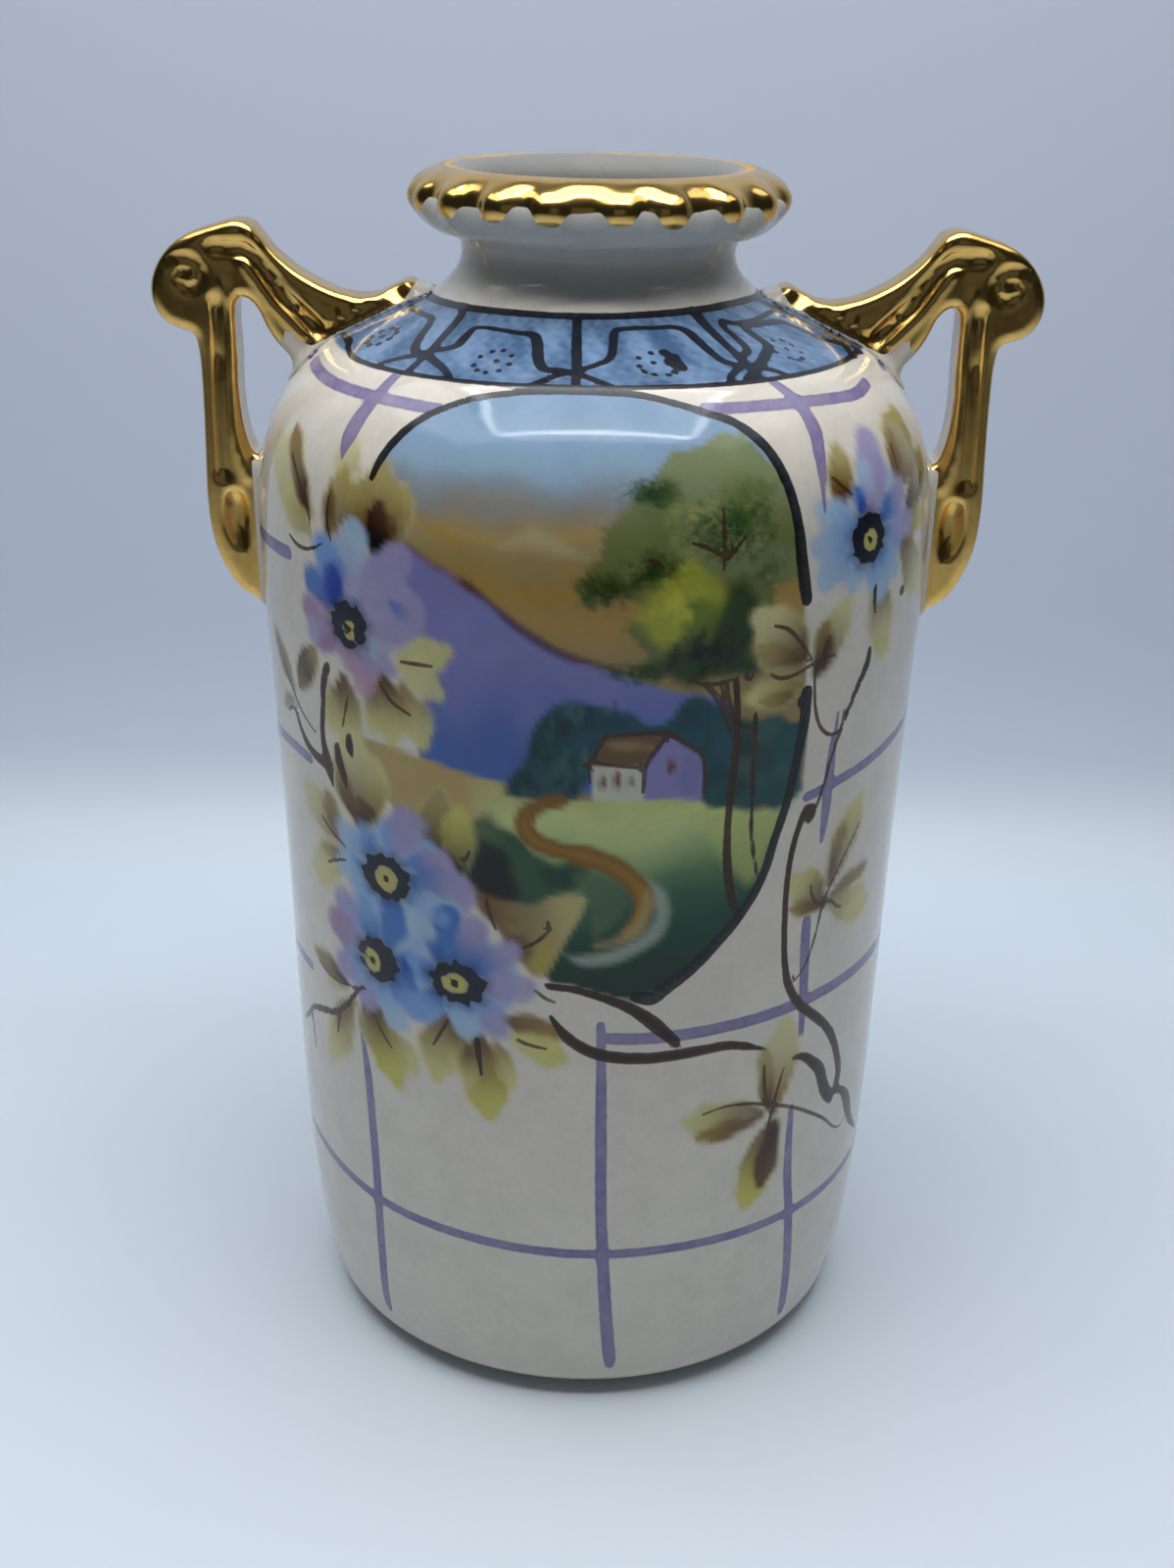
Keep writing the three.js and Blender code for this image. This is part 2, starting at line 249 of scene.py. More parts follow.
def smooth_line(points, pieces=12):
    """A smooth line through all the given points, with even turns and no loops."""
    points = np.array(points, float)
    ends = np.vstack([2 * points[0] - points[1], points, 2 * points[-1] - points[-2]])
    line = []
    for i in range(1, len(ends) - 2):
        p0, p1, p2, p3 = ends[i - 1:i + 3]
        k1 = max(np.linalg.norm(p1 - p0), 1e-6) ** 0.5
        k2 = k1 + max(np.linalg.norm(p2 - p1), 1e-6) ** 0.5
        k3 = k2 + max(np.linalg.norm(p3 - p2), 1e-6) ** 0.5
        t = np.linspace(k1, k2, pieces, endpoint=False)[:, None]
        a1 = (k1 - t) / k1 * p0 + t / k1 * p1
        a2 = (k2 - t) / (k2 - k1) * p1 + (t - k1) / (k2 - k1) * p2
        a3 = (k3 - t) / (k3 - k2) * p2 + (t - k2) / (k3 - k2) * p3
        b1 = (k2 - t) / k2 * a1 + t / k2 * a2
        b2 = (k3 - t) / (k3 - k1) * a2 + (t - k1) / (k3 - k1) * a3
        line.append((k2 - t) / (k2 - k1) * b1 + (t - k1) / (k2 - k1) * b2)
    return np.vstack(line + [points[-1:]])


def arc(centre, radius, start, end, count):
    turn = np.radians(np.linspace(start, end, count))
    return np.c_[centre[0] + radius * np.cos(turn), centre[1] + radius * np.sin(turn)]


base = arc((BASE_RADIUS - BASE_ROUND, BASE_TOP), BASE_ROUND, -90, 0, 30)
roll = arc((LIP_RADIUS, LIP_HEIGHT), LIP_ROLL, -104, 180, 80)
wall = np.vstack([[FOOT_RADIUS, 0.0], [FOOT_RADIUS, FOOT_HEIGHT], base[:-1],
                  smooth_line(WALL_STATIONS, 40)[:-1], roll])
wall_up = np.r_[0.0, np.cumsum(np.hypot(*np.diff(wall, axis=0).T))]
print("wall measures", round(wall_up[-1], 1), "mm from foot to throat")


def wall_at(up):
    """Radius and height of the outside of the wall, up mm along it from the foot."""
    return np.interp(up, wall_up, wall[:, 0]), np.interp(up, wall_up, wall[:, 1])


# %% Rows of the body mesh, closest where the painting is finest
WALL_THICKNESS = 3.6
FLOOR_THICKNESS = 4.0
RECESS = 1.6
COLLAR_FROM = 144.0
COLLAR_TO = 160.0
LIP_FROM = 168.2

rows = np.concatenate([[0.0, 1.0], np.arange(2.0, 8.0, 1.0), np.arange(8.0, 28.0, 1.6),
                       np.arange(28.0, 56.0, 0.8),
                       np.arange(56.0, COLLAR_FROM, 0.64), np.arange(COLLAR_FROM, COLLAR_TO, 0.46),
                       np.arange(COLLAR_TO, LIP_FROM, 0.9), np.arange(LIP_FROM, wall_up[-1], 0.68)])
outside = np.c_[wall_at(rows)]
side_rows = np.array([20, 50, 80, 108, 118, 125, 130, 134, 138, 143, 152, 158, 161, 164])
tangent = np.c_[wall_at(side_rows + 0.2)] - np.c_[wall_at(side_rows - 0.2)]
tangent /= np.hypot(*tangent.T)[:, None]
inside = np.c_[wall_at(side_rows)] + WALL_THICKNESS * np.c_[-tangent[:, 1], tangent[:, 0]]
throat = np.array([(15.2, 155.0), (14.6, 152.5)])
well = np.array([(35.6, 12.5), (34.0, 8.4), (30.0, RECESS + FLOOR_THICKNESS),
                 (14.0, RECESS + FLOOR_THICKNESS),
                 (0.0, RECESS + FLOOR_THICKNESS)])
under = np.array([(0.0, RECESS), (16.0, RECESS), (29.4, RECESS), (30.6, RECESS - 0.5), (30.9, 0.1),
                  (31.1, 0.0)])
section = np.vstack([under, outside, throat, inside[::-1], well])
print(len(section), "rows from underside to well")

# %% The profile spun into a body, sector by sector
FRONT_HALF = 38.0
SIDE_TO = 72.0
SECTORS = [(-180.0, -SIDE_TO, 54), (-SIDE_TO, -FRONT_HALF, 30), (-FRONT_HALF, FRONT_HALF, 104),
           (FRONT_HALF, SIDE_TO, 30), (SIDE_TO, 180.0, 54)]

profile = bpy.data.meshes.new("vase")
profile.from_pydata([(0.0, r * MM, z * MM) for r, z in section],
                    [(i, i + 1) for i in range(len(section) - 1)], [])
vase = bpy.data.objects.new("vase_body", profile)
bpy.context.scene.collection.objects.link(vase)
pick_up(vase)
bpy.ops.object.mode_set(mode="EDIT")
bpy.ops.mesh.select_all(action="SELECT")
for start, end, steps in SECTORS:
    bpy.ops.mesh.spin(steps=steps, angle=math.radians(end - start), axis=(0, 0, 1), center=(0, 0, 0))
bpy.ops.mesh.select_all(action="SELECT")
bpy.ops.mesh.remove_doubles(threshold=0.01 * MM)
bpy.ops.mesh.normals_make_consistent(inside=False)
bpy.ops.object.mode_set(mode="OBJECT")
print("body:", len(vase.data.vertices), "points,", len(vase.data.polygons), "faces")

# %% [markdown]
# Each handle is a flat scrolled strap, cast with the body: an arm that climbs from the neck, a curled
# top, and a leg that comes down and ends in a spoon. Its outline is drawn once, filled and
# extruded to its thickness, remeshed to an even skin, and then every point is settled onto the
# finished form: rounded edges, channels and ridges, and a flare of glaze where it meets the wall.
# The other handle is its mirror image.

# %% Handle outline
ARM_AND_LEG = [(20.8, 143.6), (22.2, 144.9), (24.2, 145.8), (26.0, 145.0), (28.8, 143.8), (31.6, 143.9),
               (34.6, 144.8), (38.3, 146.8), (41.3, 149.3), (42.8, 151.2), (44.0, 152.5), (45.8, 152.9),
               (48.6, 152.2), (52.3, 150.9), (54.6, 149.2), (56.3, 146.7), (56.9, 144.3), (56.5, 141.9),
               (55.0, 140.0), (53.4, 139.3), (51.8, 138.7), (51.3, 137.0), (51.1, 131), (51.2, 124),
               (51.3, 117), (50.8, 112), (49.4, 107.9), (47.4, 104.9), (44.3, 102.9)]
LOOP = [(44.0, 122.3), (45.0, 123.8), (45.9, 127.0), (46.3, 131.7), (46.2, 136.0), (46.3, 140.6),
        (46.1, 142.6), (45.3, 143.4), (44.3, 143.0), (43.3, 141.8), (42.3, 139.6), (41.0, 137.6),
        (39.6, 136.0), (38.9, 134.6), (39.2, 133.3)]
ROOT_DEPTH = 2.0
HALF_DEPTH = 3.25
EDGE_ROUND = 1.3
SUNK_POINTS = 60


def spread(line, gap):
    """The same line with its points an even gap apart."""
    along = np.r_[0.0, np.cumsum(np.hypot(*np.diff(line, axis=0).T))]
    marks = np.linspace(0.0, along[-1], max(int(along[-1] / gap), 2))
    return np.c_[np.interp(marks, along, line[:, 0]), np.interp(marks, along, line[:, 1])]


def sunk_wall(start_height, end_height):
    """The line inside the wall that closes a handle outline, from one height to another."""
    ups = np.linspace(*np.interp([start_height, end_height], wall[:-70, 1], wall_up[:-70]), SUNK_POINTS)
    r, z = wall_at(ups)
    r2, z2 = wall_at(ups + 0.1)
    along = np.c_[r2 - r, z2 - z]
    along /= np.hypot(*along.T)[:, None]
    return np.c_[r, z] + ROOT_DEPTH * np.c_[-along[:, 1], along[:, 0]]


strap = np.vstack([spread(smooth_line(ARM_AND_LEG), 0.4), sunk_wall(103.2, 144.3)])
hole = np.vstack([spread(smooth_line(LOOP), 0.4), [(37.0, 130.5), (40.0, 127.0), (41.5, 124.0)]])
print("strap outline", len(strap), "points, loop", len(hole))


# %% Distances that give the handle its form
def gap_to(line, x, z):
    """Distance from each (x, z) to an open line, in mm."""
    best = np.full(x.shape, 1e9)
    for (x0, z0), (x1, z1) in zip(line[:-1], line[1:]):
        dx, dz = x1 - x0, z1 - z0
        t = np.clip(((x - x0) * dx + (z - z0) * dz) / max(dx * dx + dz * dz, 1e-12), 0.0, 1.0)
        best = np.minimum(best, np.hypot(x - x0 - t * dx, z - z0 - t * dz))
    return best


def within(outline, x, z):
    """True where (x, z) lies inside a closed outline."""
    hit = np.zeros(x.shape, bool)
    for (x0, z0), (x1, z1) in zip(outline, np.roll(outline, -1, axis=0)):
        if z0 != z1:
            hit ^= ((z0 > z) != (z1 > z)) & (x < x0 + (z - z0) * (x1 - x0) / (z1 - z0))
    return hit


def closed(outline):
    return np.vstack([outline, outline[:1]])


def wall_gap(r, z):
    """Distance outside the wall's outer skin, negative inside it."""
    line = wall[30:-60]
    best = gap_to(line, r, z)
    full = np.vstack([line, [0.0, line[-1][1]], [0.0, line[0][1]]])
    return np.where(within(full, r, z), -best, best)


# %% Relief of the handle's faces
FIELD_STEP = 0.1
field_x = np.arange(17.0, 60.0, FIELD_STEP)
field_z = np.arange(98.0, 157.0, FIELD_STEP)
grid_x, grid_z = np.meshgrid(field_x, field_z, indexing="ij")
rim = np.minimum(gap_to(closed(strap), grid_x, grid_z), gap_to(closed(hole), grid_x, grid_z))
in_strap = within(strap, grid_x, grid_z) & ~within(hole, grid_x, grid_z)
outline_gap = np.where(in_strap, -rim, rim)
grid_wall = wall_gap(grid_x, grid_z)

CHANNEL = [(48.3, 149.4), (46.3, 149.2), (44.0, 149.0), (41.8, 146.6), (40.0, 144.0), (38.0, 142.1),
           (36.8, 140.8), (35.8, 139.8)]
UPPER_RIDGE = [(43.9, 151.7), (43.3, 149.4), (41.2, 146.3), (38.6, 143.7), (36.0, 141.8), (34.9, 140.5)]
LOWER_RIDGE = [(48.3, 149.0), (45.0, 148.1), (43.5, 146.2), (41.3, 143.0), (39.1, 140.4), (37.5, 138.8)]
LEG_GROOVE = [(48.7, 142.9), (48.5, 139.6), (48.7, 134.6), (48.8, 129.5), (48.8, 124.3), (48.8, 120.8)]
INNER_RIB = [(47.5, 145.2), (46.9, 142.3), (46.9, 136.3), (47.1, 129.5), (46.9, 125.1), (45.6, 120.2)]
SPOON = [(48.6, 118.4), (46.7, 118.6), (45.8, 116.3), (46.2, 111.3), (47.2, 110.5), (48.8, 113.0),
         (49.0, 115.5)]
CURL = [(54.6, 147.6), (53.1, 148.3), (51.2, 148.0), (50.2, 146.6), (50.6, 145.0), (52.0, 144.4),
        (53.1, 145.2), (52.9, 146.5), (51.9, 146.6)]
HORN = [(27.5, 144.5), (24.9, 146.2), (24.4, 145.5), (24.7, 143.4), (26.6, 143.6)]


def carve(points, width, depth):
    """A soft groove (depth below zero) or ridge along a line on the handle's face."""
    d = gap_to(smooth_line(points, 6), grid_x, grid_z) / width
    return depth * np.exp(-d * d)


def scoop(outline, soft, depth):
    edge = closed(smooth_line(outline + outline[:1], 6))
    d = gap_to(edge, grid_x, grid_z)
    d = np.where(within(edge[:-1], grid_x, grid_z), d, -d)
    return depth * np.clip(d / soft, 0.0, 1.0) ** 0.8


PEARLS = [(34.2, 140.9), (32.4, 141.6), (30.6, 142.7), (29.0, 143.6)]
face = (HALF_DEPTH + carve(CHANNEL, 1.0, -1.35) + carve(UPPER_RIDGE, 0.6, 0.45)
        + carve(LOWER_RIDGE, 0.6, 0.45) + carve(LEG_GROOVE, 0.7, -0.95) + carve(INNER_RIB, 0.5, 0.35)
        + carve(CURL, 0.5, -0.95) + scoop(SPOON, 1.1, -1.15) + scoop(HORN, 0.8, -0.6))
for x, z in PEARLS:
    face += 0.45 * np.exp(-((grid_x - x) ** 2 + (grid_z - z) ** 2) / 0.65 ** 2)


def lookup(table, x, z):
    """Value of a table of the handle plane at any (x, z), smoothly between its points."""
    u = np.clip((x - field_x[0]) / FIELD_STEP, 0, len(field_x) - 2)
    v = np.clip((z - field_z[0]) / FIELD_STEP, 0, len(field_z) - 2)
    i, j = u.astype(int), v.astype(int)
    u, v = u - i, v - j
    return ((table[i, j] * (1 - u) + table[i + 1, j] * u) * (1 - v)
            + (table[i, j + 1] * (1 - u) + table[i + 1, j + 1] * u) * v)


FLARE_SIZE = 0.9
FLARE_REACH = 1.8
DEEPEST = 2.2


def handle_form(p):
    """Signed distance to the finished handle, below zero inside the porcelain."""
    x, y, z = p[:, 0], p[:, 1], p[:, 2]
    edge_in = lookup(outline_gap, x, z) + EDGE_ROUND
    face_in = np.abs(y) - lookup(face, x, z) + EDGE_ROUND
    form = np.hypot(np.maximum(edge_in, 0), np.maximum(face_in, 0))
    form = form + np.minimum(np.maximum(edge_in, face_in), 0) - EDGE_ROUND
    off_wall = wall_gap(np.hypot(x, y), z) if len(p) < 400 else lookup(grid_wall, np.hypot(x, y), z)
    flare = FLARE_SIZE * np.clip(1 - off_wall / FLARE_REACH, 0, 2) ** 2
    return np.maximum(form - flare, -off_wall - DEEPEST)


# %% Handles made from the outline
SKIN = 0.52
SETTLING_PASSES = 8


def slab(name, outline, half_depth):
    """A flat plate with this (x, z) outline, half_depth mm to each side of the handle plane."""
    mesh = bpy.data.meshes.new(name)
    mesh.from_pydata([(x * MM, 0.0, z * MM) for x, z in outline],
                     [(i, (i + 1) % len(outline)) for i in range(len(outline))], [])
    plate = bpy.data.objects.new(name, mesh)
    bpy.context.scene.collection.objects.link(plate)
    pick_up(plate)
    bpy.ops.object.mode_set(mode="EDIT")
    bpy.ops.mesh.select_all(action="SELECT")
    bpy.ops.mesh.edge_face_add()
    bpy.ops.mesh.extrude_region_move(TRANSFORM_OT_translate={"value": (0, 2 * half_depth * MM, 0)})
    bpy.ops.mesh.select_all(action="SELECT")
    bpy.ops.transform.translate(value=(0, -half_depth * MM, 0))
    bpy.ops.mesh.normals_make_consistent(inside=False)
    bpy.ops.object.mode_set(mode="OBJECT")
    return plate


handle = slab("right_handle", strap, HALF_DEPTH)
cutter = slab("loop_punch", hole, 2 * HALF_DEPTH)
pick_up(handle)
cut = handle.modifiers.new("loop", "BOOLEAN")
cut.operation = "DIFFERENCE"
cut.object = cutter
bpy.ops.object.modifier_apply(modifier=cut.name)
bpy.data.objects.remove(cutter)
skin = handle.modifiers.new("even skin", "REMESH")
skin.mode = "VOXEL"
skin.voxel_size = SKIN * MM
bpy.ops.object.modifier_apply(modifier=skin.name)


def read_points(mesh):
    flat_list = np.empty(len(mesh.vertices) * 3)
    mesh.vertices.foreach_get("co", flat_list)
    return flat_list.reshape(-1, 3) / MM


def write_points(mesh, places):
    mesh.vertices.foreach_set("co", (places * MM).ravel())
    mesh.update()


skin_points = read_points(handle.data)
nudge = 0.02
for _ in range(SETTLING_PASSES):
    here = handle_form(skin_points)
    slope = np.stack([(handle_form(skin_points + nudge * axis) - here) / nudge for axis in np.eye(3)], 1)
    steep = np.maximum((slope ** 2).sum(1), 0.2)
    skin_points = skin_points - np.clip(here / steep, -0.4, 0.4)[:, None] * slope
write_points(handle.data, skin_points)
print("handle:", len(handle.data.vertices), "points, off its form by at most",
      round(float(np.abs(handle_form(skin_points)).max()), 3), "mm")

pick_up(handle)
bpy.ops.object.duplicate()
other = bpy.context.object
other.name = "left_handle"
mirrored = read_points(other.data)
mirrored[:, 0] *= -1
write_points(other.data, mirrored)
bpy.ops.object.mode_set(mode="EDIT")
bpy.ops.mesh.select_all(action="SELECT")
bpy.ops.mesh.flip_normals()
bpy.ops.object.mode_set(mode="OBJECT")

# %% One casting
for side in (handle, other):
    pick_up(vase)
    join = vase.modifiers.new("cast together", "BOOLEAN")
    join.operation = "UNION"
    join.solver = "EXACT"
    join.object = side
    bpy.ops.object.modifier_apply(modifier=join.name)
    bpy.data.objects.remove(side)
triangles = sum(len(face.vertices) - 2 for face in vase.data.polygons)
print("casting:", len(vase.data.vertices), "points,", triangles, "triangles")
pick_up(vase)
bpy.ops.object.shade_smooth()


# %% [markdown]
# The painter works on the unrolled wall. Every point of the mesh gets two painter's coordinates:
# how far around it is, in degrees from the middle of the front, and how far up, in millimetres
# along the wall from the foot. A stroke is then a smooth line through a few of these, with its width,
# and its colour is kept on the mesh points, so it follows the surface wherever it is seen from.

# %% Painter's coordinates
def along_wall(r, z):
    """For each point: distance from the wall's outside, and mm up along it."""
    best = np.full(r.shape, 1e9)
    place = np.zeros(r.shape)
    for (r0, z0), (r1, z1), start in zip(wall[:-1], wall[1:], wall_up[:-1]):
        dr, dz = r1 - r0, z1 - z0
        length = math.hypot(dr, dz)
        t = np.clip(((r - r0) * dr + (z - z0) * dz) / length ** 2, 0.0, 1.0)
        d = np.hypot(r - r0 - t * dr, z - z0 - t * dz)
        closer = d < best
        best[closer] = d[closer]
        place[closer] = start + t[closer] * length
    return best, place


ON_THE_WALL = 0.3
places = read_points(vase.data)
place_radius = np.hypot(places[:, 0], places[:, 1])
off, place_up = along_wall(place_radius, places[:, 2])
painted = np.flatnonzero(off < ON_THE_WALL)
around = np.degrees(np.arctan2(places[painted, 0], -places[painted, 1]))
up = place_up[painted]
radius = place_radius[painted]
MIDDLE_RADIUS = 42.0
unrolled = np.radians(around) * MIDDLE_RADIUS
print(len(painted), "points carry the painting,", len(places) - len(painted),
      "are handles, inside and foot")


# %% Pigments
def light_of(level):
    """Linear light of an 0 to 255 picture value."""
    level = np.asarray(level, float) / 255.0
    return np.where(level <= 0.04045, level / 12.92, ((level + 0.055) / 1.055) ** 2.4)


GLAZE = np.array([0.745, 0.68, 0.59])
SHEEN = np.array([0.013, 0.014, 0.015])


def pigment(red, green, blue, beside):
    """A colour as the eye reads it on the pot, where bare glaze next to it reads as the grey beside.

    The thin sheen of the room on the glaze is taken off both first.
    """
    seen = np.maximum(light_of([red, green, blue]) - SHEEN, 0.0025)
    return seen / (light_of([beside] * 3) - SHEEN) * GLAZE


def ripple(size, seed):
    """Soft random unevenness of about -1 to 1 over the wall, for hand-held edges and mottled colour."""
    draw = np.random.default_rng(seed)
    total = np.zeros(len(up))
    for _ in range(7):
        turn = draw.uniform(0, 2 * math.pi)
        wave = size * draw.uniform(0.7, 2.0)
        total += np.sin((unrolled * math.cos(turn) + up * math.sin(turn)) * 2 * math.pi / wave
                        + draw.uniform(0, 2 * math.pi))
    return total / 3.0


edge_ripple = ripple(5.0, 1)
fine_ripple = ripple(1.6, 2)
colour_ripple = ripple(9.0, 3)


# %% Brushes
NONE = -2.0
wash = np.tile(GLAZE, (len(painted), 1))
enamel = np.full(len(painted), NONE)
lilac = np.full(len(painted), NONE)
brown = np.full(len(painted), NONE)
pen_offset = np.zeros(len(painted))
pen_half = np.full(len(painted), NONE)


def near(line, reach):
    """Wall points near a line, and the line as each of them sees it, in mm."""
    middle = (line[:, 0].min() + line[:, 0].max()) / 2
    turn = (around - middle + 180) % 360 - 180
    half_turn = (line[:, 0].max() - line[:, 0].min()) / 2
    close = (np.abs(turn) < half_turn + np.degrees(reach / radius))
    close &= (up > line[:, 1].min() - reach) & (up < line[:, 1].max() + reach)
    spot = np.flatnonzero(close)
    x = (line[None, :, 0] - middle - turn[spot, None]) * math.radians(1) * radius[spot, None]
    y = line[None, :, 1] - up[spot, None]
    return spot, x, y


def follow(points, reach, pieces=8):
    """Wall points near a smooth line: distance, side, share of its length, and if past its end."""
    line = smooth_line(points, pieces)
    spot, x, y = near(line, reach)
    dx, dy = np.diff(x, axis=1), np.diff(y, axis=1)
    t = -(x[:, :-1] * dx + y[:, :-1] * dy) / (dx * dx + dy * dy + 1e-9)
    held = np.clip(t, 0.0, 1.0)
    foot_x, foot_y = x[:, :-1] + held * dx, y[:, :-1] + held * dy
    d = np.hypot(foot_x, foot_y)
    k = d.argmin(axis=1)
    row = np.arange(len(spot))
    side = np.sign(dx[row, k] * foot_y[row, k] - dy[row, k] * foot_x[row, k])
    share = (k + held[row, k]) / (len(line) - 1)
    past = ((k == 0) & (t[row, k] < 0)) | ((k == len(line) - 2) & (t[row, k] > 1))
    return spot, d[row, k], side, share, past


def widths(half, share):
    half = np.atleast_1d(np.asarray(half, float))
    return np.interp(share, np.linspace(0, 1, len(half)), half)


def brush(field, points, half):
    """A stroke of thick paint: the field rises to the half width on its centre line, zero at its edge."""
    spot, d, side, share, past = follow(points, 2.2)
    field[spot] = np.maximum(field[spot], widths(half, share) - d)


def pen(points, half):
    """A hair-thin stroke, kept as signed distance to its middle, so it can be finer than the mesh."""
    spot, d, side, share, past = follow(points, 1.4)
    keep = widths(half, share) - 3.0 * np.maximum(d - 0.7, 0.0)
    keep[past & (d > 0.25)] = NONE
    better = keep - d > pen_half[spot] - np.abs(pen_offset[spot])
    pen_offset[spot[better]] = (side * d)[better]
    pen_half[spot[better]] = keep[better]


def dot(field, place, size):
    spot, x, y = near(np.array([place], float), size + 2.0)
    field[spot] = np.maximum(field[spot], size - np.hypot(x[:, 0], y[:, 0]))


def smooth_step(value):
    value = np.clip(value, 0.0, 1.0)
    return value * value * (3 - 2 * value)


def area(outline, reach=2.0, rounded=True):
    """Wall points in and near a closed outline, and how deep inside it they are, in mm."""
    ring = smooth_line(outline + outline[:1], 6) if rounded else np.array(outline + outline[:1], float)
    spot, x, y = near(ring, reach)
    depth = np.full(len(spot), 1e9)
    inside_it = np.zeros(len(spot), bool)
    for i in range(len(ring) - 1):
        dx, dy = x[:, i + 1] - x[:, i], y[:, i + 1] - y[:, i]
        t = np.clip(-(x[:, i] * dx + y[:, i] * dy) / (dx * dx + dy * dy + 1e-9), 0.0, 1.0)
        depth = np.minimum(depth, np.hypot(x[:, i] + t * dx, y[:, i] + t * dy))
        crosses = (y[:, i] > 0) != (y[:, i + 1] > 0)
        with np.errstate(divide="ignore", invalid="ignore"):
            inside_it ^= crosses & (x[:, i] - y[:, i] * dx / dy > 0)
    return spot, np.where(inside_it, depth, -depth)


def lay(spot, cover, colour):
    """Blends a colour, or one colour per point, into the washes."""
    cover = np.clip(cover, 0.0, 1.0)[:, None]
    wash[spot] = wash[spot] * (1 - cover) + np.asarray(colour) * cover


def flood(outline, colour, soft=0.5, cover=1.0, rough=0.3, rounded=True, to=None, axis=None):
    """A wash inside an outline. With to and axis, the colour turns from one end of axis to the other."""
    spot, depth = area(outline, 2.0 + soft, rounded)
    strength = cover * smooth_step((depth + rough * edge_ripple[spot]) / (2 * soft) + 0.5)
    strength *= 1 + 0.08 * colour_ripple[spot]
    if to is not None:
        colour = colour + (to - colour) * smooth_step(toward(axis, spot))[:, None]
    lay(spot, strength, colour)


def toward(axis, spot):
    """Share of the way from the axis' first point to its second, for these wall points."""
    (a0, s0), (a1, s1) = axis
    scale = math.radians(1) * radius[spot]
    turn = (around[spot] - a0 + 180) % 360 - 180
    dx, dy = (a1 - a0) * scale, s1 - s0
    share = (turn * scale * dx + (up[spot] - s0) * dy) / (dx * dx + dy * dy)
    return np.clip(share, 0, 1)


def soft_stroke(points, half, colour, soft=0.5, cover=1.0):
    """A stroke of thin colour in the washes."""
    spot, d, side, share, past = follow(points, 3.0)
    depth = widths(half, share) - d + 0.15 * edge_ripple[spot]
    lay(spot, cover * smooth_step(depth / (2 * soft) + 0.5), colour)


LOADED = 1.6


def blade(root, tip, width, at_root, at_tip, cover=0.9, soft=0.42, fullest=0.55, blunt=0.35):
    """A leaf or petal laid down with one loaded brush, from its root to its tip."""
    middle = ((root[0] + tip[0]) / 2, (root[1] + tip[1]) / 2)
    spot, d, side, share, past = follow([root, middle, tip], width + 2.5)
    swell = np.interp(share, [0, fullest * 0.5, fullest, 0.85, 1], [0.3, 0.8, 1.0, 0.8, blunt])
    depth = width * swell - d + 0.3 * edge_ripple[spot]
    colour = at_root + (at_tip - at_root) * smooth_step(share)[:, None]
    cover = 1 - (1 - cover) ** LOADED
    lay(spot, cover * smooth_step(depth / (2 * soft) + 0.5) * (1 + 0.1 * colour_ripple[spot]), colour)


# %% [markdown]
# The picture in the medallion is a made-up country scene laid down as such painters do it: thin sky and
# hill washes first, the meadow wet in wet, then the path, a small house, bushes and a tree dabbed
# over them. Its colours and its broad areas follow the real one.

# %% Sky, hill and meadow
MEDALLION = [(-37, 131.5), (-36, 133.8), (-34, 136.5), (-31, 139), (-27, 140.9), (-23, 142.3),
             (-18, 143.2), (-12, 144), (0, 144.3), (8, 143.8), (14, 142.6), (20, 141), (24.5, 139.5),
             (28, 137), (30, 134.5), (31.5, 131), (32.5, 127), (33, 123), (33.8, 119.5), (34.4, 114),
             (35.6, 107), (36.2, 100), (36.8, 96), (36.2, 92.8), (33.9, 92.4), (31.8, 87), (30.1, 82.5),
             (26, 77.5), (21.9, 74.2), (17.8, 71.2), (13.7, 69), (8.2, 67.6), (3, 68.4), (-2, 69.6),
             (-6, 70), (-10, 76), (-20, 81), (-28, 85), (-31, 89), (-38, 93), (-42, 96), (-41, 98.3),
             (-28, 98), (-27.5, 104), (-24.5, 110), (-29, 113), (-34, 119), (-30, 124.3), (-34, 128)]
picture, picture_depth = area(MEDALLION, 1.5, rounded=False)
picture_cover = smooth_step(picture_depth / 0.5 + 0.5)
picture_up = up[picture] + 0.9 * colour_ripple[picture]


def ramp(heights, colours):
    """The picture's colour where it turns from one wash to the next with height."""
    return np.stack([np.interp(picture_up, heights, [c[i] for c in colours]) for i in range(3)], 1)


sky = ramp([112, 116, 120, 124, 127, 129.5, 131.5, 134, 137, 140, 144],
           [pigment(98, 90, 66, 142), pigment(112, 95, 62, 142), pigment(112, 94, 57, 145),
            pigment(108, 98, 72, 146), pigment(110, 102, 80, 148), pigment(102, 102, 98, 150),
            pigment(98, 108, 120, 152), pigment(104, 126, 150, 158), pigment(115, 141, 174, 180),
            pigment(124, 154, 191, 205), pigment(110, 142, 182, 205)])
lay(picture, picture_cover, sky)
for place, half, colour, cover in [
        ([(-22, 126.3), (-14, 125.6), (-8, 126.2), (0, 127)], [0.3, 1.1, 0.3], pigment(125, 110, 72, 148),
         0.6),
        ([(-14, 125.2), (-9, 126.4), (-5, 125.4), (-1, 124.6)], [0.2, 1.3, 0.9, 0.2],
         pigment(122, 117, 100, 146), 0.7),
        ([(-26, 129.6), (-16, 129), (-4, 129.6)], [0.2, 1.0, 0.2], pigment(96, 100, 108, 150), 0.5),
        ([(-12, 121.4), (-7, 121.9), (-2, 121.3)], [0.2, 0.8, 0.2], pigment(102, 96, 80, 145), 0.6),
        ([(-29, 127.5), (-24, 126.2), (-18, 124.2)], [0.3, 0.9, 0.3], pigment(120, 98, 55, 146), 0.6)]:
    soft_stroke(place, half, colour, 0.7, cover)

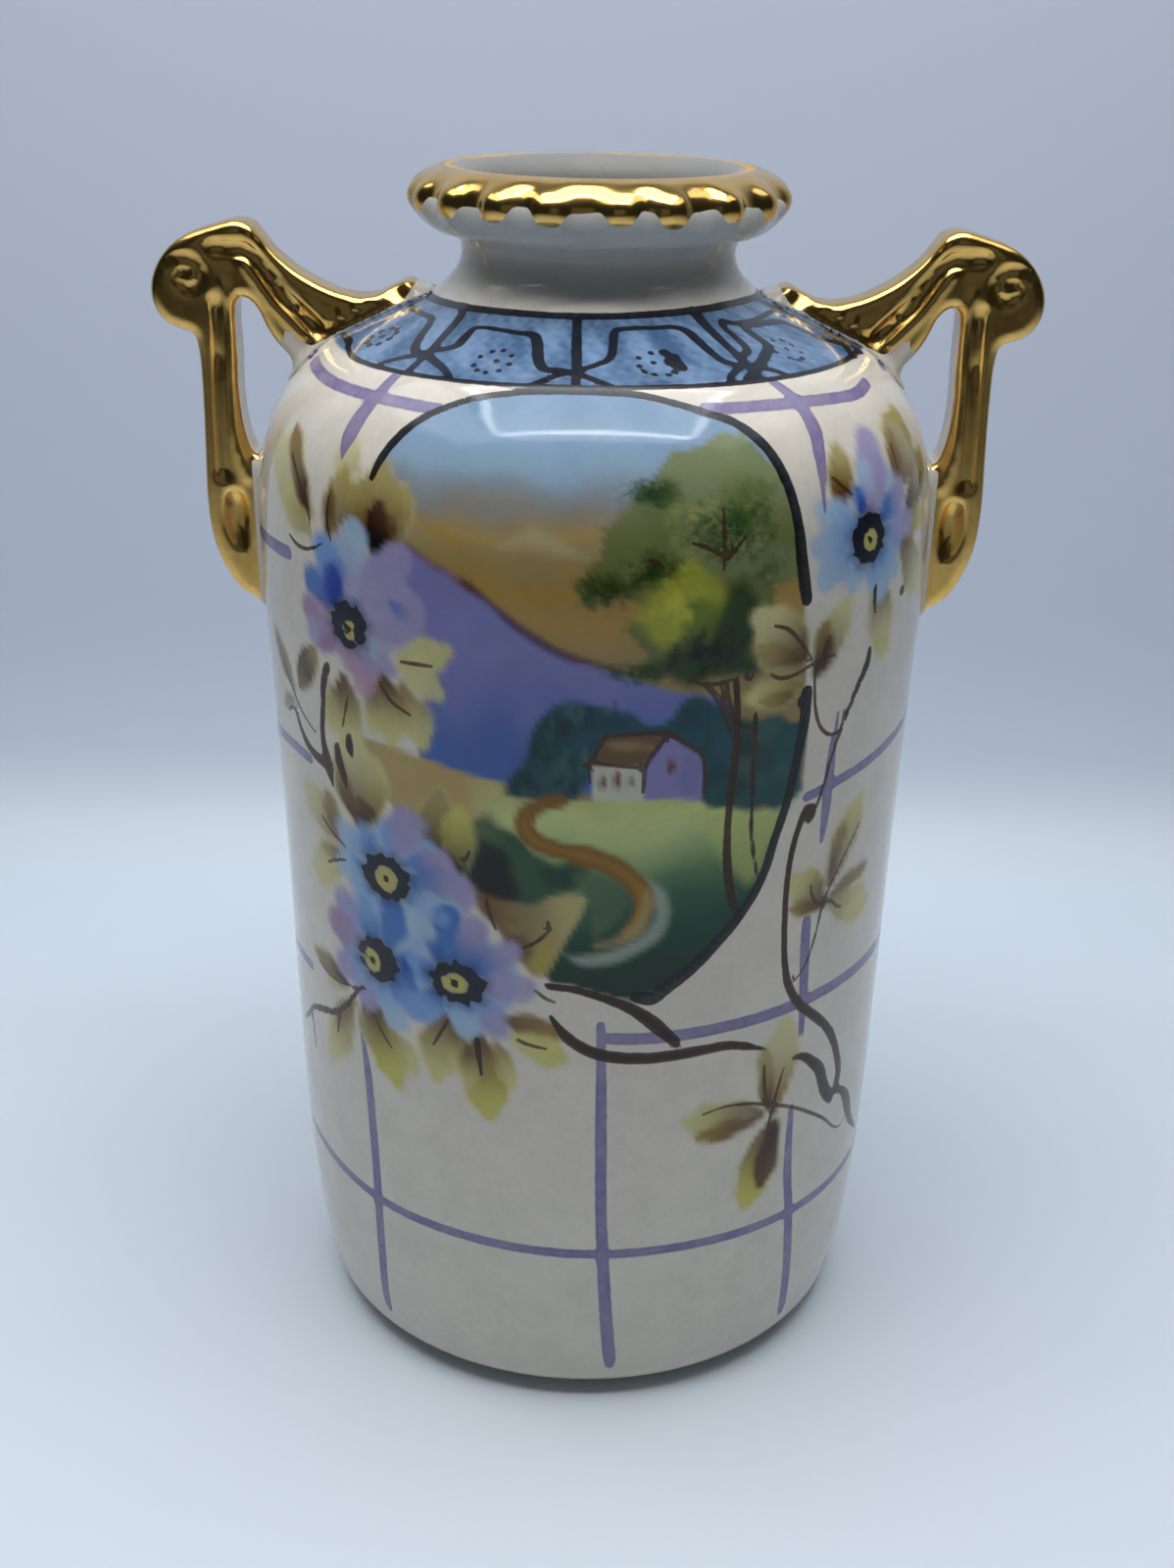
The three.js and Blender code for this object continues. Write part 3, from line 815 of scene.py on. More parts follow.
HILL = [(-36, 122), (-31, 124.6), (-28, 123.9), (-25, 122.6), (-22, 121.9), (-20.5, 121.3), (-17, 119.6),
        (-12, 117), (-8, 114.9), (-4, 113.2), (0, 112), (5, 110.5), (12, 108.5), (22, 106), (22, 96),
        (5, 95.5), (-13, 96.2), (-22, 97), (-27.5, 98), (-27.5, 104), (-24.5, 110), (-29, 113),
        (-34, 119)]
spot, depth = area(HILL, 1.5)
hill_share = smooth_step((up[spot] + 1.5 * colour_ripple[spot] - 98) / 16)
HILL_LOW = pigment(54, 73, 122, 143)
HILL_HIGH = pigment(85, 88, 131, 143)
hill = HILL_LOW + (HILL_HIGH - HILL_LOW) * hill_share[:, None]
lay(spot, smooth_step(depth / 0.7 + 0.5), hill)
soft_stroke([(-31, 124.6), (-28, 123.7), (-25, 122.5), (-22, 121.6), (-18.5, 120)], [0.3, 0.5, 0.4],
            pigment(88, 66, 58, 146), 0.45, 0.6)
soft_stroke([(-20, 121), (-16, 119), (-12, 116.6), (-8, 114.6), (-4, 113), (0, 112.1), (4, 111.3)],
            [0.25, 0.5, 0.6, 0.5, 0.25], pigment(52, 38, 34, 143), 0.4, 0.75)

MEADOW = [(-43, 95), (-41, 98), (-28, 98), (-20, 97), (-13, 96.2), (-6, 94.6), (5, 95), (17, 94.4),
          (22, 92.8), (28, 91.6), (36, 92.5), (33.5, 90), (31.8, 87), (30.1, 82.5), (26, 77.5),
          (21.9, 74.2), (17.8, 71.2), (13.7, 69), (8.2, 67.4), (3, 68.2), (-2, 69.4), (-6, 70),
          (-10, 76), (-20, 81), (-28, 85), (-31, 89)]
spot, depth = area(MEADOW, 1.5)
picture_up = up[spot] - 0.10 * np.maximum(around[spot] - 8, 0) + 0.8 * colour_ripple[spot]
grass = ramp([68, 72, 77, 81, 84, 87, 89.5, 92, 94, 97],
             [pigment(25, 43, 40, 138), pigment(27, 47, 42, 138), pigment(31, 54, 47, 138),
              pigment(44, 66, 56, 138), pigment(62, 84, 64, 140), pigment(97, 114, 84, 142),
              pigment(118, 132, 96, 142), pigment(128, 138, 98, 142), pigment(124, 132, 92, 142),
              pigment(126, 118, 84, 142)])
west = smooth_step((-13 - around[spot]) / 9)[:, None]
lay(spot, smooth_step(depth / 0.7 + 0.5), grass * (1 - west) + west * pigment(122, 110, 78, 146))
flood([(15, 92), (20, 92.3), (28, 91), (33, 90.5), (31, 86), (27, 82), (24, 84), (20, 88.5)],
      pigment(122, 130, 84, 142), 1.2, 0.6)

flood([(-21, 88.5), (-19.6, 91), (-17, 91.6), (-13, 90.4), (-10.4, 89), (-9, 87.4), (-6, 86.6),
       (-3, 86.6), (-0.6, 85.6), (-1.6, 83.4), (-4, 81.6), (-9, 80), (-15, 80),
       (-20, 82.6)], pigment(42, 60, 50, 140), 0.6, 0.95,
      0.8)
flood([(-20.4, 84), (-18.4, 88.4), (-15, 88), (-12.4, 85), (-12.6, 81), (-18, 80.4)],
      pigment(13, 26, 20, 140), 0.8, 0.9, 0.6)
flood([(-8, 85.6), (-4, 86), (-1.4, 85), (-3.4, 83), (-7, 83)], pigment(34, 50, 44, 140), 0.7, 0.8, 0.4)

# %% Bushes, path and house
for outline, colour, cover in [
        ([(-13.3, 95.2), (-12, 97.5), (-10.5, 99.8), (-8.8, 102.5), (-7.6, 105), (-5, 106.6),
          (-2.3, 107.2), (0.5, 106.2), (3, 106.4), (5.6, 106.2), (8, 104.6), (12, 104.8), (14, 106.8),
          (17, 107.2), (18.5, 105), (18.5, 98), (16, 97), (4, 97), (0.2, 98.5), (-0.6, 96.5),
          (-2.5, 94.6), (-7, 94.2)],
         pigment(32, 56, 62, 143), 0.96),
        ([(18, 106.5), (22, 105.2), (26, 104), (31, 103.2), (35.5, 102.6), (36.9, 99), (36.9, 93),
          (33.5, 92.2), (28, 91.6), (22, 92.4), (18.2, 94), (17.6, 98)], pigment(33, 57, 62, 143), 0.95)]:
    flood(outline, colour, 0.45, cover, 0.55)
for a, s, wide, colour in [(-8, 100, 1.8, (22, 42, 48)), (-5, 103.6, 1.7, (22, 42, 50)),
                           (-4, 98.5, 1.6, (45, 70, 76)), (-10.5, 96.5, 1.5, (24, 44, 46)),
                           (-1.5, 104.8, 1.2, (18, 36, 46)), (-6.5, 96, 1.6, (38, 62, 62)),
                           (3, 104.6, 1.3, (30, 52, 62)), (15.5, 104.6, 1.6, (27, 50, 58)),
                           (20.5, 97, 1.6, (28, 48, 52)), (25, 100, 2.0, (22, 42, 46)),
                           (28.5, 97.5, 1.8, (27, 50, 54)), (29, 102, 1.5, (46, 68, 68)),
                           (32, 96, 1.6, (42, 66, 72)), (24, 95, 1.6, (27, 46, 50)),
                           (33.5, 100, 1.4, (36, 60, 66))]:
    soft_stroke([(a - 2, s - 0.6), (a, s + 0.3), (a + 2, s - 0.2)], [0.3, wide, 0.3],
                pigment(*colour, 143), 1.1, 0.7)
draw = np.random.default_rng(11)
for _ in range(60):
    a, s = draw.uniform(-12, 6), draw.uniform(95, 107)
    if s - 95 < 1.25 * (a + 13):
        soft_stroke([(a, s), (a + draw.uniform(-0.8, 1.2), s + draw.uniform(0.4, 1.4))], 0.25,
                    pigment(*((50, 76, 78) if draw.random() < 0.5 else (18, 38, 42)), 143), 0.35, 0.5)

PATH = [(-4.6, 94.5), (-7.5, 93.9), (-9.6, 92.6), (-10.2, 90.9), (-8.6, 89.2), (-5, 88.1), (0, 87.3),
        (4, 86), (7.4, 84), (9, 81.4), (8.6, 79), (6.6, 77)]
soft_stroke([(9.3, 84), (11.6, 81.6), (12.2, 79), (10.6, 76.4), (7, 74.6), (2.5, 73.4), (-1.5, 73.2),
             (-3.5, 73.8)],
            [0.3, 0.9, 1.0, 1.0, 0.9, 0.8, 0.6, 0.2], pigment(100, 112, 108, 140), 0.6, 0.85)
flood([(1, 76.6), (4, 78), (6.2, 80), (6.5, 82), (3.5, 84.2), (0, 85.2), (-2, 84.6), (0.5, 82), (1, 79)],
      pigment(58, 72, 58, 138), 0.8, 0.8)
soft_stroke(PATH, [0.9, 1.0, 1.15, 1.2, 1.2, 1.25, 1.3, 1.35, 1.3, 1.25, 1.2, 0.9],
            pigment(84, 62, 22, 140), 0.35, 0.97)
soft_stroke(PATH[2:], [0.2, 0.3, 0.4, 0.5, 0.5, 0.6, 0.7, 0.8, 0.8, 0.7], pigment(106, 84, 40, 140), 0.5,
            0.6)
soft_stroke([(9.6, 82.4), (9.5, 80), (8.2, 77.6), (5, 75.8), (1.5, 75.2)], [0.3, 0.8, 1.0, 0.7, 0.2],
            pigment(112, 106, 78, 140), 0.7, 0.7)

flood([(0.3, 99.6), (0.3, 94.9), (8.6, 94.7), (8.6, 99.4)], pigment(128, 133, 130, 142), 0.3, 1.0, 0.05,
      False)
flood([(8.3, 94.9), (8.3, 99.6), (11.9, 103), (17.6, 99.9), (17.9, 94.2)], pigment(90, 90, 130, 142), 0.3,
      1.0, 0.08, False)
flood([(0.0, 99.4), (2.2, 102.9), (11.6, 103), (8.5, 99.1)], pigment(74, 60, 46, 142), 0.3, 1.0, 0.05,
      False)
soft_stroke([(2.6, 101.9), (6, 101.8), (9.6, 101.6)], 0.4, pigment(104, 90, 70, 142), 0.35, 0.7)
flood([(14.5, 100.8), (16.8, 99.6), (17.2, 95.2), (14.4, 95.4)], pigment(78, 80, 118, 142), 0.7, 0.6, 0.1)
for a, s, tall in [(1.8, 97.2, 0.75), (4.1, 97.4, 0.95), (6.2, 97.2, 0.8), (12.6, 99.0, 0.95)]:
    soft_stroke([(a, s - tall), (a + 0.15, s), (a + 0.1, s + tall)], [0.25, 0.5, 0.2],
                pigment(74, 44, 40, 142), 0.25, 0.95)

# %% Tree
TREE = [(1, 124.6), (3, 128.2), (6, 131.2), (10, 134.6), (15, 137), (20, 138), (25, 137.3), (29, 134.8),
        (31.4, 131), (32.6, 126), (32.6, 121), (29, 120.2), (26.4, 117), (25.2, 113), (25.6, 110.6),
        (19, 109.4), (12, 110), (8, 112.5), (5.6, 116), (7.4, 119), (3.5, 119.6), (-1, 119),
        (-3.3, 120.6), (-1.5, 122.6)]
spot, depth = area(TREE, 1.5)
leafy = depth + 0.45 * edge_ripple[spot] + 0.35 * fine_ripple[spot]
lit = smooth_step((up[spot] - 124 + 1.6 * colour_ripple[spot]) / 12)[:, None]
TREE_SHADE = pigment(72, 81, 55, 148)
TREE_LIT = pigment(98, 108, 80, 163)
lay(spot, 0.93 * smooth_step(leafy / 0.8 + 0.5), TREE_SHADE * (1 - lit) + lit * TREE_LIT)
flood([(12, 125.5), (18, 126.4), (26, 125.6), (32, 124), (32, 121.2), (27, 120.8), (20, 121.5),
       (14, 123)],
      pigment(86, 98, 78, 146), 0.9, 0.6)
flood([(15.5, 117), (19, 120.6), (23.5, 121.2), (25.4, 117), (25, 112), (25.8, 110.2), (18, 109.2),
       (12, 109.8), (11, 112.4),
       (13.4, 114)], pigment(30, 48, 33, 143), 0.9, 0.9, 0.6)
flood([(6.2, 117.5), (9, 121.2), (13, 123.6), (17.5, 122.8), (20.5, 120), (18.5, 117.2), (15.5, 115.6),
       (12.6, 114.2),
       (8.8, 114.6)], pigment(112, 118, 54, 146), 0.9, 0.9, 0.4)
flood([(13, 118.6), (16, 119.6), (19.5, 118.2), (18, 115), (14, 114)], pigment(66, 82, 44, 144), 0.9, 0.8,
      0.5)
draw = np.random.default_rng(5)
TUFTS = [((8.5, 131.6), (4.0, 1.6), 26, (44, 60, 42)), ((20.5, 127), (7.0, 3.4), 60, (44, 62, 42)),
         ((1.5, 120.3), (4.2, 1.7), 30, (44, 52, 30)), ((8.5, 122.8), (4.0, 2.0), 30, (40, 52, 32)),
         ((18, 112.5), (6.5, 2.6), 44, (20, 36, 26)), ((7, 110.9), (4.5, 1.2), 26, (36, 54, 36)),
         ((23.5, 130.6), (5.0, 1.8), 16, (66, 80, 54)), ((26.5, 122), (4.0, 2.4), 18, (58, 72, 50)),
         ((14, 128), (8.0, 3.5), 22, (98, 106, 74)), ((12, 118.6), (4.0, 2.5), 14, (128, 132, 60))]
foliage = np.zeros(len(painted))
for (a, s), (wide, tall), count, colour in TUFTS:
    if sum(colour) < 180:
        spot, x, y = near(np.array([(a, s)], float), 8.0)
        wide_mm = wide * math.radians(1) * radius[spot]
        leafy_here = np.exp(-(x[:, 0] / wide_mm) ** 2 - (y[:, 0] / tall) ** 2)
        foliage[spot] = np.maximum(foliage[spot], leafy_here)
    for _ in range(count):
        a1 = a + wide * np.clip(draw.normal() * 0.45, -1, 1)
        s1 = s + tall * np.clip(draw.normal() * 0.45, -1, 1)
        lean = draw.uniform(0.2, 1.0)
        long = draw.uniform(0.7, 1.5)
        soft_stroke([(a1, s1), (a1 + 1.4 * long * lean, s1 + 0.7 * long)], [0.42, 0.2],
                    pigment(*colour, 146), 0.35,
                    draw.uniform(0.35, 0.75))
for points, half in [([(22.4, 109.4), (23.1, 105), (23.3, 100), (22.9, 95), (22.7, 90), (23, 85.5),
                       (24, 81), (25.8, 77)],
                      [0.4, 0.45, 0.5, 0.5, 0.5, 0.6, 0.65, 0.5]),
                     ([(26.3, 104.4), (26.6, 100), (26.7, 95), (27, 90), (27.8, 86), (29, 82.4)],
                      [0.35, 0.32, 0.32, 0.3, 0.3, 0.2])]:
    brush(brown, points, half)
for points in [[(15, 110), (18, 108.4), (20, 106.2), (21.6, 103.4), (22.8, 101.4)],
               [(20, 109), (21, 106), (24, 103.4), (27, 102.2)],
               [(19.8, 129.8), (19.7, 126), (19.6, 122.2)], [(14.4, 126), (17, 125.3), (19.2, 124.2)],
               [(23.4, 126.4), (21.4, 124.8), (19.8, 123.4)], [(7.4, 124.2), (9, 124), (10.6, 123.2)],
               [(14.5, 109.6), (18.5, 109), (22.5, 109.4)], [(22.8, 104.6), (21.4, 107), (21, 109.3)],
               [(24.6, 110.2), (24, 109.5), (24.8, 109.0), (25.4, 109.6)]]:
    pen(points, [0.16, 0.3, 0.16])
# the outlines of the house
for points, half in [([(2.2, 103.1), (7, 103.3), (11.6, 103.3), (13.4, 102.8)], [0.26, 0.28, 0.34, 0.26]),
                     ([(12, 103.1), (10.2, 101.2), (8.6, 99.2), (8.4, 97), (8.3, 95.4)],
                      [0.3, 0.34, 0.34, 0.3, 0.2]),
                     ([(12.2, 103), (15, 101.7), (17.6, 100), (18.2, 97.6), (18.2, 95)],
                      [0.3, 0.3, 0.26, 0.24, 0.15]),
                     ([(-1.4, 99.5), (1, 99.6), (4, 99.3), (8.4, 98.9)], [0.15, 0.25, 0.25, 0.3]),
                     ([(2.4, 103.1), (1.1, 101.3), (0.1, 99.6)], [0.25, 0.25, 0.3]),
                     ([(-0.3, 99.4), (-0.1, 97.6), (0.1, 96.6)], [0.22, 0.2, 0.1])]:
    pen(points, half)


# %% [markdown]
# Round the medallion grow blue flowers and autumn leaves on brown stems. Each leaf is one stroke of
# a brush loaded with two colours, dark where it starts and yellow where it lifts. Each flower is a
# few wet blue and lilac petals round a ragged black ring with a yellow eye.

# %% Leaves
UMBER = pigment(50, 36, 22, 146)
SEPIA = pigment(66, 50, 31, 146)
TAN = pigment(96, 80, 50, 146)
OLIVE = pigment(112, 106, 74, 146)
STRAW = pigment(137, 137, 98, 146)
YELLOW = pigment(134, 133, 74, 146)
PALE = pigment(142, 142, 112, 150)
NIGHT = pigment(34, 20, 9, 146)
LEAVES = [
    # root, tip, half width, colour at root, colour at tip, cover
    ((-50.5, 125), (-67, 131.5), 3.2, OLIVE, PALE, 0.55),
    ((-50.8, 122.8), (-60, 126.5), 2.2, OLIVE, STRAW, 0.5),
    ((-50.9, 125), (-62, 134), 1.5, UMBER, TAN, 0.85),
    ((-44.5, 123.5), (-43.3, 130.6), 2.0, SEPIA, OLIVE, 0.85),
    ((-46, 123), (-45.6, 128.3), 0.9, UMBER, SEPIA, 0.8),
    ((-41, 131.5), (-46, 134), 2.0, OLIVE, PALE, 0.3),
    ((-35, 122.8), (-35.4, 131.8), 3.5, NIGHT, OLIVE, 0.95),
    ((-35, 123.4), (-35, 127.6), 3.0, NIGHT, UMBER, 0.8),
    ((-38, 124), (-41, 129.6), 1.9, SEPIA, OLIVE, 0.8),
    ((-31.5, 124), (-30.4, 130.3), 1.5, SEPIA, OLIVE, 0.6),
    ((-51.3, 107.5), (-57, 101.5), 1.9, SEPIA, SEPIA, 0.85),
    ((-50.6, 108), (-53.6, 103), 1.0, OLIVE, UMBER, 0.6),
    ((-59.5, 100.5), (-68, 107), 1.6, SEPIA, TAN, 0.6),
    ((-60, 99.3), (-66, 97), 1.0, SEPIA, TAN, 0.5),
    ((-43.5, 105.5), (-44, 97.5), 2.9, SEPIA, STRAW, 0.8),
    ((-46.6, 104.6), (-47.6, 97.8), 1.3, OLIVE, STRAW, 0.6),
    ((-34.3, 107.2), (-33, 99.5), 2.9, SEPIA, STRAW, 0.82),
    ((-36.8, 106), (-37, 100), 1.2, SEPIA, STRAW, 0.6),
    ((-30.5, 106.3), (-27.6, 100), 2.2, TAN, STRAW, 0.7),
    ((-31, 109.8), (-22.8, 112.3), 2.1, STRAW, STRAW, 0.75),
    ((-30.5, 109.5), (-24.2, 106.8), 1.7, STRAW, PALE, 0.7),
    ((-41.5, 86.4), (-42, 97.4), 4.2, SEPIA, PALE, 0.85),
    ((-38, 87.6), (-36.8, 95.6), 1.7, TAN, STRAW, 0.6),
    ((-44.5, 88), (-45.6, 94), 1.4, SEPIA, TAN, 0.7),
    ((-40.4, 86.3), (-41.4, 89.4), 2.5, UMBER, SEPIA, 0.65),
    ((-46.8, 83), (-57.5, 87.5), 2.7, TAN, PALE, 0.6),
    ((-46.9, 83.2), (-50.6, 88.2), 1.6, SEPIA, TAN, 0.6),
    ((-46.3, 81), (-57, 76.5), 2.4, OLIVE, PALE, 0.55),
    ((-46.2, 80.6), (-53.6, 80.6), 1.0, SEPIA, OLIVE, 0.7),
    ((-48.5, 79), (-54.5, 75), 1.5, STRAW, STRAW, 0.6),
    ((-48.2, 61.8), (-58.6, 63), 1.6, UMBER, TAN, 0.85),
    ((-49, 60.8), (-56, 60.4), 0.9, OLIVE, PALE, 0.5),
    ((-41, 60.8), (-36, 50.6), 3.0, SEPIA, YELLOW, 0.85),
    ((-43.5, 60), (-42.6, 54), 1.5, SEPIA, OLIVE, 0.7),
    ((-37, 58), (-31.5, 53.5), 1.6, OLIVE, STRAW, 0.6),
    ((-24.5, 62.8), (-27, 53.6), 2.8, SEPIA, STRAW, 0.85),
    ((-22.6, 61.6), (-22.6, 55.4), 1.5, SEPIA, STRAW, 0.7),
    ((-18.8, 60.4), (-16.8, 49.8), 2.9, SEPIA, YELLOW, 0.82),
    ((-15.5, 60), (-12.6, 54.5), 1.5, TAN, STRAW, 0.65),
    ((-21, 59), (-20.5, 53), 1.3, SEPIA, STRAW, 0.6),
    ((-14.8, 64), (-4.5, 62.4), 1.5, SEPIA, TAN, 0.8),
    ((-12.4, 61.6), (-3.5, 59), 1.9, STRAW, YELLOW, 0.7),
    ((-47, 59), (-55.6, 48.2), 2.5, TAN, STRAW, 0.62),
    ((-46.4, 59.6), (-52.6, 54), 1.2, SEPIA, TAN, 0.6),
    ((-27.4, 85), (-24.6, 93.5), 2.1, UMBER, OLIVE, 0.9),
    ((-22.3, 82.8), (-20.8, 92), 1.9, NIGHT, YELLOW, 0.75),
    ((-27.2, 85.3), (-21.6, 84), 1.4, NIGHT, UMBER, 0.9),
    # right of the medallion
    ((34.6, 110.6), (26.3, 116.3), 3.0, SEPIA, PALE, 0.8),
    ((33.6, 110.2), (26.2, 112.8), 1.4, SEPIA, OLIVE, 0.7),
    ((35, 107.2), (25, 106.6), 1.6, TAN, STRAW, 0.8),
    ((33.6, 106.2), (27.2, 105.9), 0.9, SEPIA, TAN, 0.6),
    ((37.2, 108.2), (43.3, 116), 2.2, SEPIA, PALE, 0.8),
    ((37, 108.6), (38.6, 114), 1.2, SEPIA, TAN, 0.7),
    ((38.6, 109), (39.6, 112.2), 0.8, UMBER, UMBER, 0.7),
    ((42.2, 128.4), (43.2, 134.4), 2.2, SEPIA, OLIVE, 0.85),
    ((40, 129.2), (46, 129.2), 0.9, SEPIA, SEPIA, 0.6),
    ((57.6, 128.2), (66.5, 136.2), 3.8, SEPIA, OLIVE, 0.72),
    ((57.4, 128.8), (60.4, 134.6), 1.4, SEPIA, TAN, 0.7),
    ((59.6, 124.6), (72, 130.4), 2.4, UMBER, OLIVE, 0.8),
    ((61, 123.6), (68.4, 122.6), 1.7, TAN, YELLOW, 0.7),
    ((58, 121.2), (68, 114.2), 2.6, SEPIA, STRAW, 0.75),
    ((58, 121.6), (63, 121), 1.0, SEPIA, TAN, 0.6),
    ((50.8, 117.4), (55, 109), 2.6, SEPIA, PALE, 0.7),
    ((52, 109.6), (56.4, 108), 1.2, YELLOW, STRAW, 0.8),
    ((44.2, 75.8), (37, 80.5), 2.6, SEPIA, STRAW, 0.72),
    ((43.6, 75.6), (36.6, 76.6), 1.1, SEPIA, TAN, 0.7),
    ((46, 78.4), (52.6, 88.4), 2.6, SEPIA, STRAW, 0.68),
    ((46.2, 79.4), (48.8, 86), 1.2, SEPIA, TAN, 0.7),
    ((46, 75.8), (57.6, 77.6), 1.3, SEPIA, TAN, 0.7),
    ((47, 75), (59.4, 72), 2.5, OLIVE, STRAW, 0.65),
    ((51, 72.6), (59, 70.4), 1.2, STRAW, YELLOW, 0.5),
    ((33.6, 46.8), (18.6, 48.6), 2.4, SEPIA, STRAW, 0.8),
    ((32, 46.2), (21.6, 45.6), 1.5, SEPIA, TAN, 0.75),
    ((36.6, 44.6), (31.6, 33.2), 2.9, SEPIA, YELLOW, 0.85),
    ((37.2, 43.6), (35, 35.6), 2.0, UMBER, SEPIA, 0.8),
    ((36.6, 46.8), (37.6, 59.6), 2.9, TAN, PALE, 0.72),
    ((35.2, 47.2), (33.4, 56.8), 1.2, SEPIA, OLIVE, 0.75)]
# a pale wash first, a little wider than the leaf, then the leaf itself
for root, tip, wide, at_root, at_tip, cover in LEAVES:
    blade(root, tip, 1.35 * wide, PALE, STRAW, 0.35, 0.8)
for root, tip, wide, at_root, at_tip, cover in LEAVES:
    blade(root, tip, 1.1 * wide, at_root, at_tip, cover)
# the wide tan leaf that lies over the picture
flood([(-19, 81.8), (-14, 80.6), (-9, 80.4), (-6, 82), (0, 81.9), (-1.6, 78.6), (-4, 74.6), (-6.8, 71),
       (-9.6, 71.2), (-12.4, 74), (-15.6, 76.8),
       (-18.6, 79.4)], pigment(78, 62, 44, 140), 0.45, 0.95, 0.2, True,
      pigment(118, 114, 84, 140), [(-17, 78), (-2, 79.5)])
flood([(-8.6, 74.4), (-5.4, 76), (-6.4, 71.6), (-9.4, 71.4)], pigment(112, 104, 58, 140), 0.7, 0.75)
flood([(-14.6, 75.4), (-10.4, 76), (-9.2, 73.6), (-11.4, 72.4)], UMBER, 0.8, 0.6)


